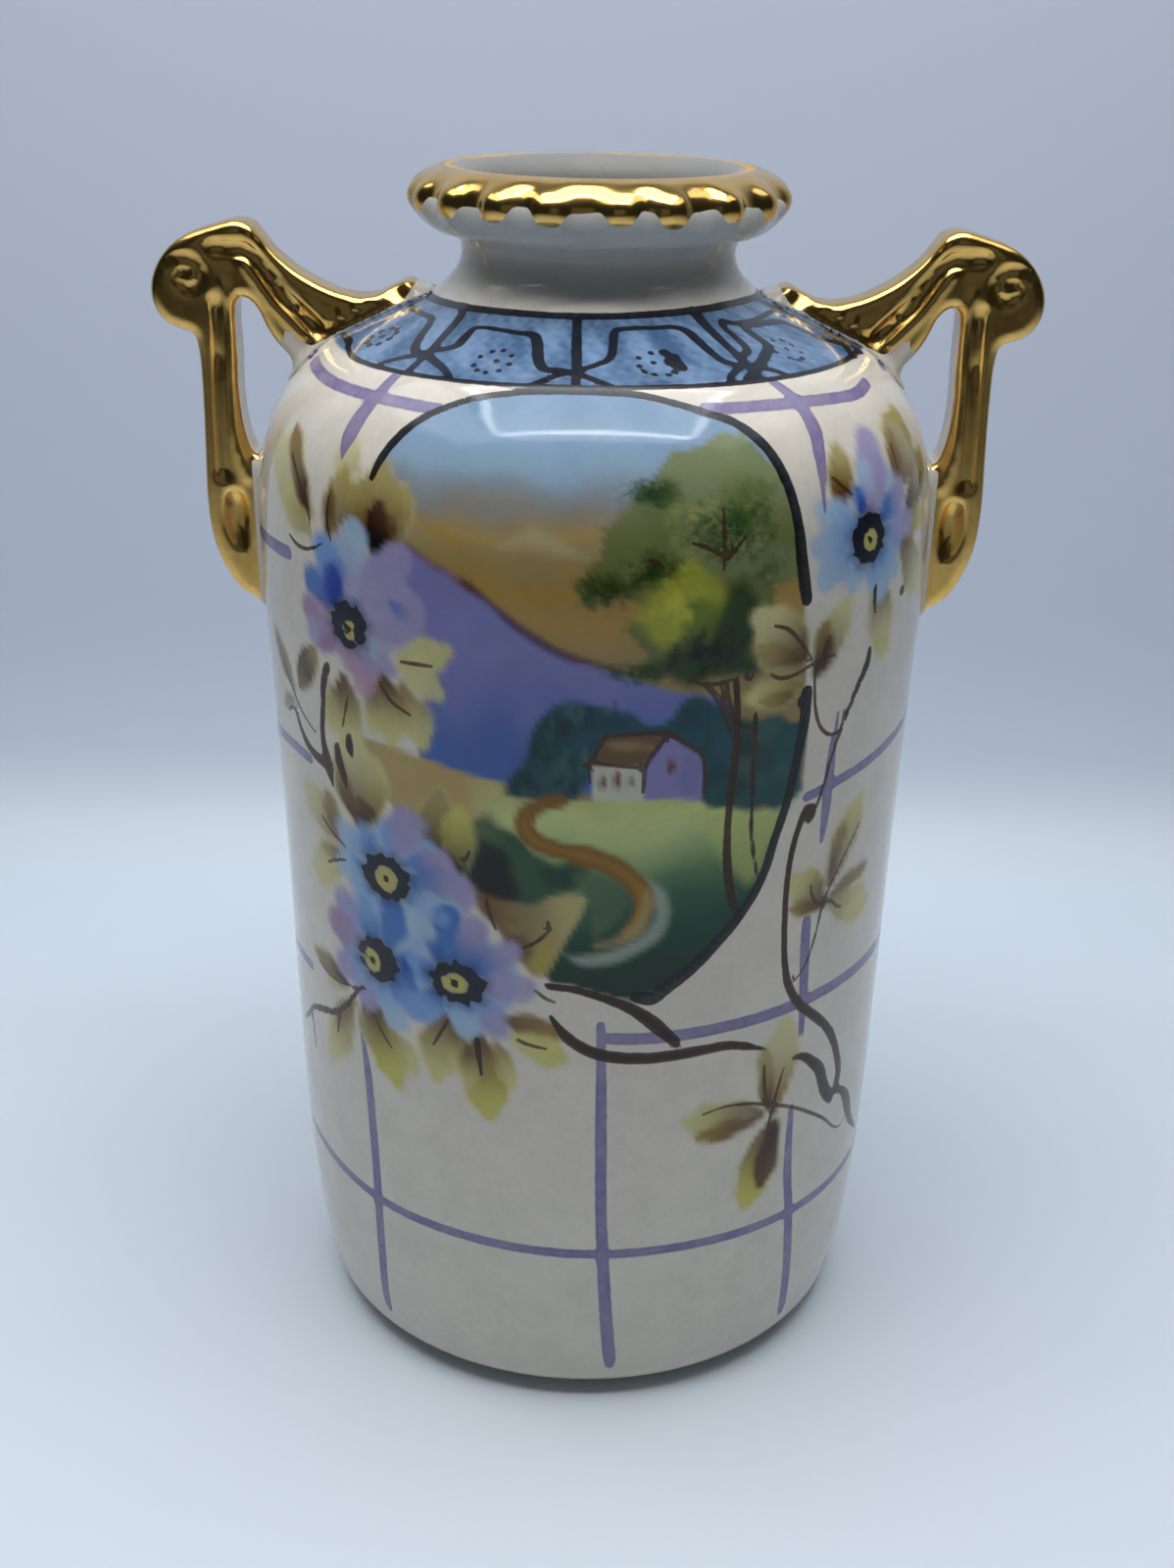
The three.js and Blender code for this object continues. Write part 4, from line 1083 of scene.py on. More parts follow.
# %% Flowers
SKY_BLUE = pigment(84, 112, 156, 146)
MID_BLUE = pigment(50, 82, 136, 146)
DEEP_BLUE = pigment(20, 50, 118, 146)
MIST_BLUE = pigment(112, 133, 158, 146)
LILAC = pigment(108, 106, 140, 146)
ROSE = pigment(108, 88, 118, 146)
PINK = pigment(122, 104, 126, 146)
PETALS = [
    # upper left flower
    ((-43, 116), (-39.5, 123.4), 3.0, LILAC, MIST_BLUE, 0.75),
    ((-38, 116), (-31, 121.6), 3.0, LILAC, LILAC, 0.75),
    ((-37.6, 113.4), (-29.4, 115.6), 3.4, LILAC, LILAC, 0.8),
    ((-37, 111.6), (-33, 108.6), 1.6, MIST_BLUE, LILAC, 0.7),
    ((-38, 110), (-38.4, 106.2), 2.6, LILAC, PINK, 0.75),
    ((-41.6, 110), (-42, 108), 1.8, PINK, PINK, 0.7),
    ((-43.6, 111.4), (-49.8, 110.2), 2.5, ROSE, LILAC, 0.8),
    ((-44.6, 109.6), (-48, 109), 1.3, ROSE, ROSE, 0.8),
    ((-45.6, 113.8), (-51.4, 113), 1.7, PINK, ROSE, 0.65),
    ((-44.4, 114.6), (-49.6, 117), 2.3, DEEP_BLUE, MID_BLUE, 0.85),
    ((-43.6, 115.2), (-46.4, 121), 2.9, DEEP_BLUE, SKY_BLUE, 0.9),
    ((-43.6, 115.6), (-45, 118.6), 1.6, DEEP_BLUE, DEEP_BLUE, 0.7),
    ((-40.6, 115.6), (-37, 116.2), 1.0, MID_BLUE, LILAC, 0.6),
    ((-32.4, 117), (-27.6, 114.6), 0.9, MID_BLUE, LILAC, 0.6),
    # flower over two, on the left
    ((-40, 83), (-46, 84.6), 2.2, SKY_BLUE, MIST_BLUE, 0.75),
    ((-38.6, 83.6), (-41, 85.8), 1.7, MID_BLUE, SKY_BLUE, 0.75),
    ((-35, 84), (-31.8, 89), 2.6, SKY_BLUE, LILAC, 0.75),
    ((-33, 84.4), (-29.4, 88.8), 2.2, LILAC, LILAC, 0.7),
    ((-32, 83), (-24.6, 84.4), 2.0, MID_BLUE, LILAC, 0.85),
    ((-31, 81), (-21.5, 80.6), 3.0, MID_BLUE, LILAC, 0.85),
    ((-32, 78.6), (-24, 77.6), 2.2, SKY_BLUE, MIST_BLUE, 0.75),
    ((-36, 78), (-34.4, 73.8), 2.3, MID_BLUE, SKY_BLUE, 0.8),
    ((-40, 78.4), (-42.6, 75), 2.6, SKY_BLUE, MIST_BLUE, 0.75),
    ((-41.6, 80.4), (-46.6, 79.6), 2.0, SKY_BLUE, MIST_BLUE, 0.7),
    ((-36, 76.6), (-36, 75.6), 2.0, MID_BLUE, SKY_BLUE, 0.5),
    # lower left flower
    ((-41.4, 70), (-47.6, 74), 2.6, SKY_BLUE, LILAC, 0.8),
    ((-42.4, 68.6), (-50.6, 70.4), 2.6, LILAC, ROSE, 0.7),
    ((-43, 66.4), (-48.4, 64.4), 2.6, SKY_BLUE, LILAC, 0.75),
    ((-40, 65), (-42, 61.2), 2.4, SKY_BLUE, LILAC, 0.75),
    ((-37, 64.8), (-35.4, 60.2), 2.8, SKY_BLUE, MIST_BLUE, 0.8),
    ((-35, 66.6), (-31.4, 62.8), 2.6, MID_BLUE, SKY_BLUE, 0.85),
    ((-34.6, 69), (-29.4, 68.4), 2.0, MID_BLUE, SKY_BLUE, 0.85),
    ((-36.4, 70.6), (-34.6, 75.4), 2.1, MID_BLUE, MID_BLUE, 0.85),
    ((-39.6, 70.6), (-41.6, 75), 2.0, MID_BLUE, SKY_BLUE, 0.8),
    # lower right flower
    ((-24, 70.6), (-24.4, 76.6), 2.5, MID_BLUE, MID_BLUE, 0.88),
    ((-21, 70.6), (-18.6, 76), 2.4, MID_BLUE, LILAC, 0.8),
    ((-19, 70), (-13.4, 73.4), 2.2, MID_BLUE, LILAC, 0.8),
    ((-17.6, 68.4), (-11.6, 68.6), 2.5, LILAC, LILAC, 0.75),
    ((-18.6, 66.6), (-15, 62.6), 2.2, SKY_BLUE, LILAC, 0.75),
    ((-22, 65.6), (-21, 61.8), 2.2, SKY_BLUE, MIST_BLUE, 0.75),
    ((-25.4, 66.4), (-28.4, 62.6), 2.2, MID_BLUE, SKY_BLUE, 0.8),
    ((-26.6, 68.6), (-30.6, 69.6), 1.7, MID_BLUE, SKY_BLUE, 0.85),
    ((-25.6, 70.4), (-27.6, 73.4), 1.5, DEEP_BLUE, MID_BLUE, 0.7),
    ((-33, 69), (-31.6, 66), 0.9, DEEP_BLUE, MID_BLUE, 0.75),
    ((-31.6, 76), (-28, 74.2), 1.9, MIST_BLUE, MIST_BLUE, 0.75),
    ((-29.6, 77), (-25.4, 76.6), 1.4, MIST_BLUE, SKY_BLUE, 0.6),
    # right flower
    ((49, 126.4), (51.8, 134), 3.2, LILAC, LILAC, 0.75),
    ((47.6, 127), (48.4, 131), 2.0, LILAC, MIST_BLUE, 0.6),
    ((46.2, 126.6), (45.8, 129.2), 1.2, DEEP_BLUE, MID_BLUE, 0.9),
    ((44.6, 125.4), (38, 127.8), 2.0, SKY_BLUE, MIST_BLUE, 0.8),
    ((43.6, 124.2), (36.2, 123.8), 1.9, SKY_BLUE, MIST_BLUE, 0.8),
    ((44, 122.4), (38.4, 120), 2.2, SKY_BLUE, MIST_BLUE, 0.75),
    ((45.6, 121), (44.6, 118.6), 1.8, SKY_BLUE, MIST_BLUE, 0.65),
    ((49, 120.8), (52, 116.6), 2.1, SKY_BLUE, MIST_BLUE, 0.8),
    ((51.2, 121.6), (56.4, 118.2), 2.0, SKY_BLUE, MIST_BLUE, 0.75),
    ((52, 123.6), (60, 123.4), 2.2, SKY_BLUE, LILAC, 0.8),
    ((51.6, 125.2), (58.8, 127.6), 1.9, MID_BLUE, LILAC, 0.8),
    ((52, 125), (54, 127), 0.9, MID_BLUE, MID_BLUE, 0.6)]
# one wet wash under each flower or group, so no bare glaze shows between its petals
flood([(-46.5, 79), (-47.5, 82), (-45, 85.6), (-42, 85.4), (-39, 86), (-35.6, 88.6), (-30, 89),
       (-26.4, 86.6), (-23, 84), (-20.4, 81), (-22, 77.8), (-17, 76), (-12.6, 73), (-11, 69), (-13, 65),
       (-17, 62.2), (-21, 61.4), (-25, 63), (-30, 61.4), (-34.4, 60.4), (-39, 61.2), (-43, 60.8),
       (-48, 64), (-47.6, 67), (-50.6, 69.4), (-49.6, 73), (-45, 75.6), (-45, 77.4)],
      pigment(100, 123, 157, 146), 0.7, 0.92, 0.5)
flood([(-50, 110), (-51.6, 113), (-50, 117), (-47, 121), (-43, 123.8), (-39, 122.8), (-34, 122),
       (-29.4, 120.6), (-27.4, 117), (-28.6, 113.6), (-31.6, 110), (-35, 107.6), (-38, 106),
       (-42, 107.2), (-46, 108.4)],
      pigment(113, 112, 144, 146), 0.8, 0.85, 0.5)
flood([(36.2, 123.8), (37.4, 128), (42, 128.2), (45, 130), (48, 133.6), (53, 134), (55.6, 131),
       (58.8, 128), (60, 124), (57.4, 120.6), (56.4, 117.8), (52, 116.6), (47.4, 118.4), (43, 118.4),
       (38.4, 119.6)],
      pigment(108, 126, 154, 146), 0.8, 0.88, 0.5)
for root, tip, wide, at_root, at_tip, cover in PETALS:
    blade(root, tip, wide, at_root, at_tip, cover, 0.55, 0.65, 0.8)

EYE_YELLOW = pigment(124, 122, 76, 142)


def flower_heart(place, ring, hollow, yellow_at, pupil):
    """The ragged black ring of a flower, its yellow eye and dark pupil, with half widths in mm."""
    spot, x, y = near(np.array([place], float), 6.0)
    x, y = x[:, 0], y[:, 0]
    turn = np.arctan2(y, x)
    beads = 0.22 * np.sin(9 * turn + place[0]) + 0.16 * np.sin(14 * turn + 2 * place[1])
    beads = beads + 0.18 * fine_ripple[spot]
    outer = (1 - np.hypot(x / ring[0], y / ring[1])) * min(ring) + beads
    ex = x - (yellow_at[0] - place[0]) * math.radians(1) * radius[spot]
    ey = y - (yellow_at[1] - place[1])
    inner = (np.hypot(ex / hollow[0], ey / hollow[1]) - 1) * min(hollow) + 0.1 * fine_ripple[spot]
    eye = np.hypot(ex, ey)
    lay(spot, 0.55 * smooth_step(outer / 1.6 + 0.9), pigment(30, 44, 60, 146))
    lay(spot, smooth_step(0.5 - inner / 0.6), EYE_YELLOW)
    enamel[spot] = np.maximum(enamel[spot], np.maximum(np.minimum(outer, inner), pupil - eye))


flower_heart((-41.2, 112.7), (3.1, 2.9), (1.15, 1.35), (-41.3, 113.2), 0.62)
flower_heart((48, 123.4), (3.3, 3.1), (1.5, 1.45), (47.6, 123.7), 0.5)
flower_heart((-36.2, 80.2), (3.9, 3.1), (1.9, 1.75), (-36.3, 80.4), 0.55)
flower_heart((-39.2, 67.7), (3.5, 3.1), (1.5, 1.75), (-37.8, 68.1), 0.62)
flower_heart((-22.4, 67.9), (3.8, 2.9), (1.9, 1.45), (-21.9, 68), 0.62)

# %% A small sprig behind
# The back can't be seen in the photo; it gets one flower and a few leaves in the same manner.
for root, tip, wide, at_root, at_tip, cover in [
        ((198, 82), (188, 76), 2.4, SEPIA, STRAW, 0.8),
        ((200, 81), (199, 71), 2.8, SEPIA, YELLOW, 0.8),
        ((204, 82), (212, 75), 2.4, SEPIA, STRAW, 0.8),
        ((206, 90), (216, 93), 2.2, SEPIA, OLIVE, 0.75),
        ((193, 66), (184, 72), 2.0, SEPIA, STRAW, 0.75),
        ((190, 60), (180, 61), 2.1, SEPIA, YELLOW, 0.75)]:
    blade(root, tip, wide, at_root, at_tip, cover)
for tip, at_root, at_tip in [((192, 91.5), SKY_BLUE, LILAC), ((197, 96), MID_BLUE, MIST_BLUE),
                             ((204.5, 95.5), MID_BLUE, LILAC),
                             ((208, 89.5), SKY_BLUE, LILAC), ((204, 82.5), MID_BLUE, SKY_BLUE),
                             ((196, 82.5), SKY_BLUE, ROSE)]:
    blade((200, 88.5), tip, 2.9, at_root, at_tip, 0.8, 0.55, 0.65, 0.8)
flower_heart((200, 88.5), (3.4, 2.9), (1.6, 1.5), (200.2, 88.8), 0.55)
BACK_STEM = [(200, 80), (198.5, 75), (195, 69), (190.5, 63), (184, 56.5), (176, 52)]
brush(brown, BACK_STEM, [0.6, 0.9, 0.95, 1.0, 0.9, 0.5])
pen(BACK_STEM, 0.45)
for points in [[(200.5, 80), (200, 76), (199.3, 72.5)], [(197.5, 81), (193, 78.5), (189.5, 76.8)],
               [(204.5, 81.4), (208, 78.6), (211, 76)],
               [(206.6, 90.2), (211, 91.6), (214.6, 92.6)], [(193, 66), (188.6, 69), (185.2, 71.4)],
               [(189.6, 60.4), (185, 60.8), (181, 61)]]:
    pen(points, [0.18, 0.3, 0.26, 0.14])

# %% Stems, tendrils and veins
for points, half in [
        ([(-6.5, 69.3), (-2, 69), (3, 67.8), (8, 66), (12, 63.5), (15.5, 60.8)],
         [0.5, 0.5, 0.6, 0.8, 1.0, 0.7]),
        ([(-6, 65), (-3, 62), (2, 59.8), (10, 58.9), (18, 59), (25, 59), (29, 58.2), (33.5, 56.8)],
         [0.3, 0.8, 0.85, 0.85, 0.8, 0.7, 0.6, 0.15]),
        ([(39.6, 88), (38.6, 90.3), (36.9, 88), (35.7, 84.3), (35.3, 79.6), (35.5, 75.4), (36, 70.6),
          (36.9, 67), (38, 64.8), (40.9, 61.7), (44.5, 59.3), (48.8, 56.4), (52, 53.3), (54.2, 50.1),
          (55.6, 47), (55.2, 44.9), (53.8, 43.5)],
         [0.35, 0.65, 0.55, 0.5, 0.5, 0.5, 0.5, 0.6, 0.65, 0.7, 0.7, 0.7, 0.75, 0.75, 0.8, 0.9, 0.7]),
        ([(40.5, 53.8), (43, 53.3), (46, 51.5), (48.5, 49.5), (50.3, 46.5), (52, 44.5), (53.5, 43)],
         [0.4, 0.6, 0.8, 1.0, 1.1, 1.0, 0.6]),
        ([(55.5, 44), (58, 43), (60.5, 41), (62.5, 38.5), (64.5, 36), (68, 33.5), (73, 30.5)],
         [0.5, 0.6, 1.0, 1.15, 0.8, 0.45, 0.15]),
        ([(50.6, 109), (50, 107), (48, 104.5), (46, 101.5), (44.5, 99), (43, 96), (42, 93), (40.5, 90),
          (39.6, 88.2)],
         [0.5, 0.7, 0.55, 0.4, 0.32, 0.3, 0.3, 0.3, 0.3]),
        ([(-47.3, 106.3), (-48.5, 104.5), (-49.5, 101), (-50.3, 96), (-49.2, 92.5), (-48.4, 90)],
         [0.65, 0.7, 0.55, 0.6, 1.1, 0.2]),
        ([(-59.5, 97), (-57, 94.5), (-54, 93.2), (-49, 92.5)], [0.4, 0.6, 0.65, 0.9]),
        ([(-46.3, 96), (-46, 94), (-45, 92), (-44.4, 90.3)], [0.6, 0.85, 0.7, 0.15]),
        ([(-43, 98.2), (-43, 96.6), (-42.8, 95.4)], [0.45, 0.85, 0.4]),
        ([(-43, 63), (-46, 60.6), (-49, 58), (-53, 55.8), (-58, 54.5), (-63, 53), (-67, 50.5),
          (-71, 48.3)],
         [0.2, 0.35, 0.4, 0.5, 0.55, 0.5, 0.4, 0.2]),
        ([(-64.5, 52.5), (-63.8, 49), (-63.5, 46)], [0.3, 0.3, 0.15]),
        ([(-18.9, 60.2), (-18.7, 58), (-18.2, 55)], [0.5, 0.4, 0.15]),
        ([(50.2, 117), (50.4, 115.4), (51, 113.4)], [0.5, 0.4, 0.2])]:
    brush(brown, points, half)
    pen(points, np.minimum(half, 0.42))
dot(brown, (60, 114.8), 0.8)
for points in [
        [(21, 49.2), (25, 49.7), (30, 49.3), (35, 48), (41, 46), (47, 43.2), (52, 40.5), (56, 37.8),
         (59, 36.7), (61.5, 37.4)],
        [(54, 85), (50, 81.5), (46.5, 78), (44.5, 75), (43.5, 71.5), (41.5, 67.5), (38, 65)],
        [(37, 110), (37.5, 106), (38.5, 102.5), (40, 100.5), (42.5, 99.3), (44.5, 99.8), (45, 102)],
        [(28.3, 115.3), (31, 114.6), (33.5, 112.8), (36.6, 109.9)],
        [(28, 109.5), (30, 108.6), (33, 108.6), (37, 109.6), (42, 110)],
        [(38.5, 53.2), (37.5, 51), (36.5, 48), (35.5, 44), (35.5, 41.5), (37, 40)],
        [(33.4, 55), (34, 50.6), (35.4, 47)],
        [(-67, 106.5), (-63, 102.5), (-60, 100), (-57, 98), (-52, 96)],
        [(-64, 96.6), (-61.5, 97.6), (-59, 97.8)],
        [(-60.2, 131.2), (-57, 129.3), (-53.5, 127), (-51.5, 125.2)],
        [(-52.6, 127), (-51, 125), (-50.4, 123.2)],
        [(-57.5, 121.5), (-55, 120.6), (-52, 120.4), (-49, 121), (-47.2, 121.8)],
        [(-46, 128.2), (-46, 125), (-44.5, 122)],
        [(-31, 109.8), (-27, 109.9), (-24.5, 110)], [(-42.3, 103.7), (-43.5, 101), (-44.5, 98.8)],
        [(-35.3, 106.7), (-33, 104.5), (-28.7, 103)], [(-56, 106), (-57, 103.5)],
        [(-53.5, 85.2), (-50, 83.5), (-45.5, 82)],
        [(-52.5, 78.2), (-49, 79.5), (-46, 80.3)], [(-59, 62.2), (-55, 61.3), (-50, 61.2), (-47, 61.8)],
        [(-47, 61.8), (-45, 61.9), (-42.6, 62.4)], [(-41, 59.7), (-39.5, 57.5), (-36.5, 55)],
        [(-52.6, 52.4), (-51.6, 55), (-49.6, 58)],
        [(-24.3, 62.3), (-26, 60), (-27.7, 57.7)], [(-12.5, 61.5), (-10, 60.7), (-6, 60.2)],
        [(-17, 81), (-16.4, 79), (-15, 76)], [(-11, 74.2), (-8.4, 75.4), (-6, 77.2)],
        [(-6.6, 78.6), (-6.4, 77.6), (-7, 77)],
        [(40.2, 131.8), (42, 130.5), (44.5, 129)], [(59, 133.5), (58.8, 130)], [(70, 128.5), (66, 125.5)],
        [(40, 112.8), (38.8, 110.6), (38, 108.5)], [(41, 79.2), (41.5, 77.5), (43, 76), (44.5, 75.5)],
        [(44.5, 75.6), (47, 75.3), (49, 74), (51, 73.5)], [(-8.6, 68.6), (-7, 67.6), (-5, 67)],
        [(-21.6, 85.6), (-20.4, 85.4), (-19.4, 87)]]:
    pen(points, [0.18, 0.3, 0.26, 0.14])


# %% [markdown]
# Lilac lines run over the whole pot like a trellis and stop where the flowers are. They are a thin
# see-through enamel, so they are darker along their edges and where the brush stopped.

# %% Trellis
for points, half in [
        ([(-78, 141.7), (-70, 141.3), (-60, 140.8), (-45, 140.6), (-29, 140.4)], 0.8),
        ([(20, 141.6), (30, 141.4), (40, 141.2), (50, 140.8), (57, 140.6), (64, 141.4)], 0.8),
        ([(-42.5, 144.3), (-43.5, 141), (-44.5, 138), (-45, 135), (-45, 132.2)],
         [0.8, 0.95, 1.25, 1.3, 0.2]),
        ([(36.8, 144.5), (39.4, 141.4), (40.1, 137.8), (39.1, 134.2), (38.5, 131.4), (37.8, 127.4)],
         [0.7, 0.9, 1.1, 0.9, 0.6, 0.15]),
        ([(-82, 118), (-70, 118.5), (-57.5, 118.8)], [0.7, 0.8, 0.9]),
        ([(-82, 89.5), (-75, 91), (-70, 91.8), (-60, 92.2), (-55.5, 92)], 0.75),
        ([(-82, 57.3), (-73, 59.3), (-62.5, 59.7)], 0.75),
        ([(38, 91.8), (45, 92.5), (55, 93.3), (69, 94.3), (80, 94.6)], 0.7),
        ([(4, 62), (10, 61.8), (30, 61.9), (50, 62), (71, 61.5), (82, 60.6)], 0.85),
        ([(-82, 30.6), (-65, 30.8), (-50, 30), (-40, 29.5), (-20, 29.2), (0, 28.8), (20, 28.7),
          (45, 28.2), (72, 28), (82, 28.4)], 0.72),
        ([(2.5, 64), (2.8, 55), (3, 45), (3.3, 35), (3.8, 28), (4.5, 20), (5.5, 12), (6, 8.6)],
         [0.55, 0.7, 0.75, 0.75, 0.8, 0.85, 0.9, 0.8]),
        ([(-44.5, 55), (-43.5, 50), (-43, 42), (-42.8, 35), (-43, 28), (-43.5, 20), (-44.8, 9)],
         [0.4, 0.75, 0.8, 0.8, 0.8, 0.8, 0.75]),
        ([(43.5, 102), (43, 95), (43, 90), (42.8, 85)], [0.3, 0.9, 0.9, 0.5]),
        ([(40.8, 74), (41, 70), (41.5, 65), (42, 57)], [0.8, 0.9, 0.85, 0.5]),
        ([(41, 46), (41.3, 40), (41.8, 35), (43, 30), (44, 25), (45, 20), (46.5, 12), (47.5, 8.6)],
         [0.5, 0.7, 0.8, 0.8, 0.85, 0.85, 0.85, 0.8])]:
    brush(lilac, points, half)
# behind, the trellis goes on alone
for right, height, left, wave in [(141.4, 141.2, 141.7, 0.3), (118.4, 118.4, 118, -0.4),
                                  (94.6, 92.4, 89.5, 0.5), (60.6, 59.6, 57.3, -0.4),
                                  (28.4, 29.4, 30.6, 0.4)]:
    brush(lilac, [(81, right), (115, height + wave), (150, height - wave), (190, height + wave),
                  (230, height - wave), (278, left)], 0.78)
for a, bend in [(88, 0.6), (133, -0.5), (178, 0.7), (-137, -0.6), (-90, 0.4)]:
    brush(lilac, [(a, 143.6), (a + bend, 110), (a - bend, 76), (a + 0.5 * bend, 42), (a + bend, 9)],
          [0.75, 0.8, 0.75, 0.8, 0.8])

# %% [markdown]
# The collar under the neck is blue, with a black net drawn over it between two black lines. The net
# hangs in swags from bars, and each swag holds a small ring of dots. It goes all the way round.

# %% Collar
spot = np.flatnonzero((up > 143) & (up < 162))
low_line = 145.0 + 0.25 * np.sin(np.radians(around[spot]) * 3)
high_line = 159.3 + 0.35 * np.sin(np.radians(around[spot]))
band = np.minimum(up[spot] - low_line, high_line - up[spot])
streaks = 0.5 + 0.42 * colour_ripple[spot] + 0.25 * fine_ripple[spot]
COLLAR_DEEP = pigment(52, 78, 113, 178)
COLLAR_PALE = pigment(91, 117, 154, 178)
collar_blue = COLLAR_DEEP + (COLLAR_PALE - COLLAR_DEEP) * np.clip(streaks, 0, 1)[:, None]
lay(spot, 0.97 * smooth_step(band / 0.6 + 0.5), collar_blue)

UPPER_LINE = [(-78, 158.4), (-60, 158.6), (-30, 158.9), (0, 159.1), (40, 159.7), (60, 159.9), (80, 159.6)]
LOWER_LINE = [(-80, 146.6), (-72, 146.6), (-66, 145.6), (-60, 144.9), (-30, 144.7), (0, 145), (30, 145),
              (60, 145.2), (82, 145.4)]
brush(enamel, UPPER_LINE, [0.6, 0.65, 0.62, 0.6, 0.6, 0.55, 0.5])
brush(enamel, LOWER_LINE, [0.4, 0.6, 0.35, 0.42, 0.38, 0.4, 0.42, 0.38, 0.42])
brush(enamel, [(80, 159.6), (120, 159.2), (170, 159.5), (220, 159), (282, 158.4)], 0.6)
brush(enamel, [(80, 145.4), (120, 145), (170, 145.3), (220, 145), (282, 146.6)], 0.42)
BAR = [(-6.5, 159), (-5.6, 155.5), (-4.9, 152), (-4.2, 148), (-4, 145)]
SWAG = [(4, 145.1), (-8, 147.9), (-13.2, 150.5), (-14.8, 152.8), (-17, 154.6), (-22, 155.1), (-30, 155.4),
        (-34.6, 155.4), (-36, 154.4), (-35.6, 151.4), (-40.3, 149.2), (-45, 147.4), (-50, 145.3)]
NET = [(BAR, [0.55, 0.6, 0.65, 0.6, 0.55]),
       ([(-49.7, 158.4), (-46.6, 157.4), (-43.8, 155.1), (-42.1, 152.2), (-40.9, 149.2), (-40.5, 145)],
        [0.5, 0.6, 0.65, 0.6, 0.6, 0.55]),
       ([(34, 159.5), (33.5, 155), (34, 151), (34.3, 148.5), (34.7, 145.6)],
        [0.85, 0.7, 0.65, 0.75, 0.6]),
       ([(2.9, 145.2), (-1.5, 146.7), (-4.5, 147.6), (-8, 147.9), (-11.4, 148.2), (-13.6, 150.5),
         (-14.8, 152.6), (-17, 154.6), (-22, 154.9), (-28, 155.2), (-33, 155.3), (-36, 155)],
        [0.45, 0.5, 0.6, 0.6, 0.6, 0.7, 0.7, 0.65, 0.5, 0.45, 0.42, 0.45]),
       ([(-36, 154.8), (-35.7, 152.6), (-35.4, 151.2), (-37.5, 150.2), (-40.3, 149.4), (-43.5, 148),
         (-47, 146.8), (-50, 145.3)], [0.5, 0.7, 0.7, 0.55, 0.6, 0.6, 0.5, 0.4]),
       ([(-78, 155.7), (-62, 155.5), (-55, 155.2), (-52, 153.8), (-48.5, 151), (-46, 149.2), (-43, 148.4),
         (-40.5, 148.4), (-36, 147.3), (-33, 146.4), (-30.2, 145.2)],
        [0.4, 0.45, 0.5, 0.6, 0.65, 0.65, 0.6, 0.6, 0.55, 0.5, 0.4]),
       ([(-12.5, 145), (-8, 147), (-4.5, 147.8), (-2, 148.6), (0, 149.3), (2.3, 150.1), (3.4, 151.1),
         (4, 153), (4.6, 155.5)], [0.5, 0.5, 0.5, 0.45, 0.45, 0.5, 0.55, 0.55, 0.55]),
       ([(4.6, 155.5), (5.4, 156.3), (10, 156.75), (17, 156.75), (23, 156.7), (25.9, 155.7), (27, 153.4),
         (27.9, 151.3), (29, 149.5), (31.5, 148.4), (33.3, 148), (36.7, 147.4), (40.1, 146.3),
         (41.5, 145.5)], [0.5, 0.55, 0.5, 0.45, 0.5, 0.7, 0.7, 0.65, 0.6, 0.5, 0.6, 0.5, 0.5, 0.4]),
       ([(27, 145), (28.1, 146.1), (31, 147.4), (33.3, 148.2), (35.5, 149.7), (38.4, 150.9),
         (38.9, 152.6), (38.7, 155.1)], [0.4, 0.45, 0.5, 0.6, 0.5, 0.6, 0.6, 0.5]),
       ([(38.7, 155.1), (39.5, 156.3), (41.8, 157), (43.5, 156.5), (49.2, 156.3), (55, 156.4),
         (60.5, 156.6), (66, 156.8), (80, 156.4)], [0.5, 0.55, 0.7, 0.55, 0.45, 0.4, 0.4, 0.42, 0.45])]
for points, half in NET:
    brush(enamel, points, half)
for shift in (81.5, 120.5, 159.5, 198.5, 237.5):
    brush(enamel, [(a + shift, s) for a, s in BAR], 0.75)
    brush(enamel, [(a + shift, s) for a, s in SWAG], 0.72)
for shift in (120.5, 159.5, 198.5, 237.5):
    brush(enamel, [(a + shift, s) for a, s in [(-44, 145.2), (-41, 146.6), (-36, 149), (-35.8, 152),
                                               (-35.6, 155)]], 0.65)

RINGS = [[(-22.5, 149), (-25, 150.7), (-22.5, 151.1), (-19.8, 150.2), (-19.2, 148.6), (-20.6, 147.2),
          (-23.2, 146.6), (-25.4, 146.9), (-27, 147.8), (-27, 149.5)],
         [(12.7, 149.6), (9.6, 150.6), (12.9, 151.5), (9.3, 149), (10.1, 147.9), (12.1, 147.3),
          (15, 147.2)],
         [(50.4, 149.8), (47, 151), (49.6, 151.8), (52.7, 151.5), (54, 150.3), (53.5, 148.7),
          (51.6, 147.7), (49.9, 147.5), (47.8, 148.2), (46.2, 149.7)]]
for ring in RINGS:
    for place in ring:
        dot(enamel, place, 0.42)
for place, size in [((16.2, 151.5), 0.7), ((17.4, 149.6), 1.15), ((18.4, 148.6), 0.85),
                    ((18.2, 150.6), 0.7), ((16.6, 147.7), 0.5)]:
    dot(enamel, place, size)
BACK_DOT = 0.55
RING_WIDE = 3.9
RING_HIGH = 2.1
RING_DOTS = 9
RING_UP = 149.6
for middle in (-62, 87.5, 126.5, 165.5, 204.5, 243.5):
    dot(enamel, (middle, RING_UP), BACK_DOT)
    for step in range(RING_DOTS):
        turn = 2 * math.pi * step / RING_DOTS
        dot(enamel, (middle + RING_WIDE * math.cos(turn), RING_UP + RING_HIGH * math.sin(turn)), BACK_DOT)

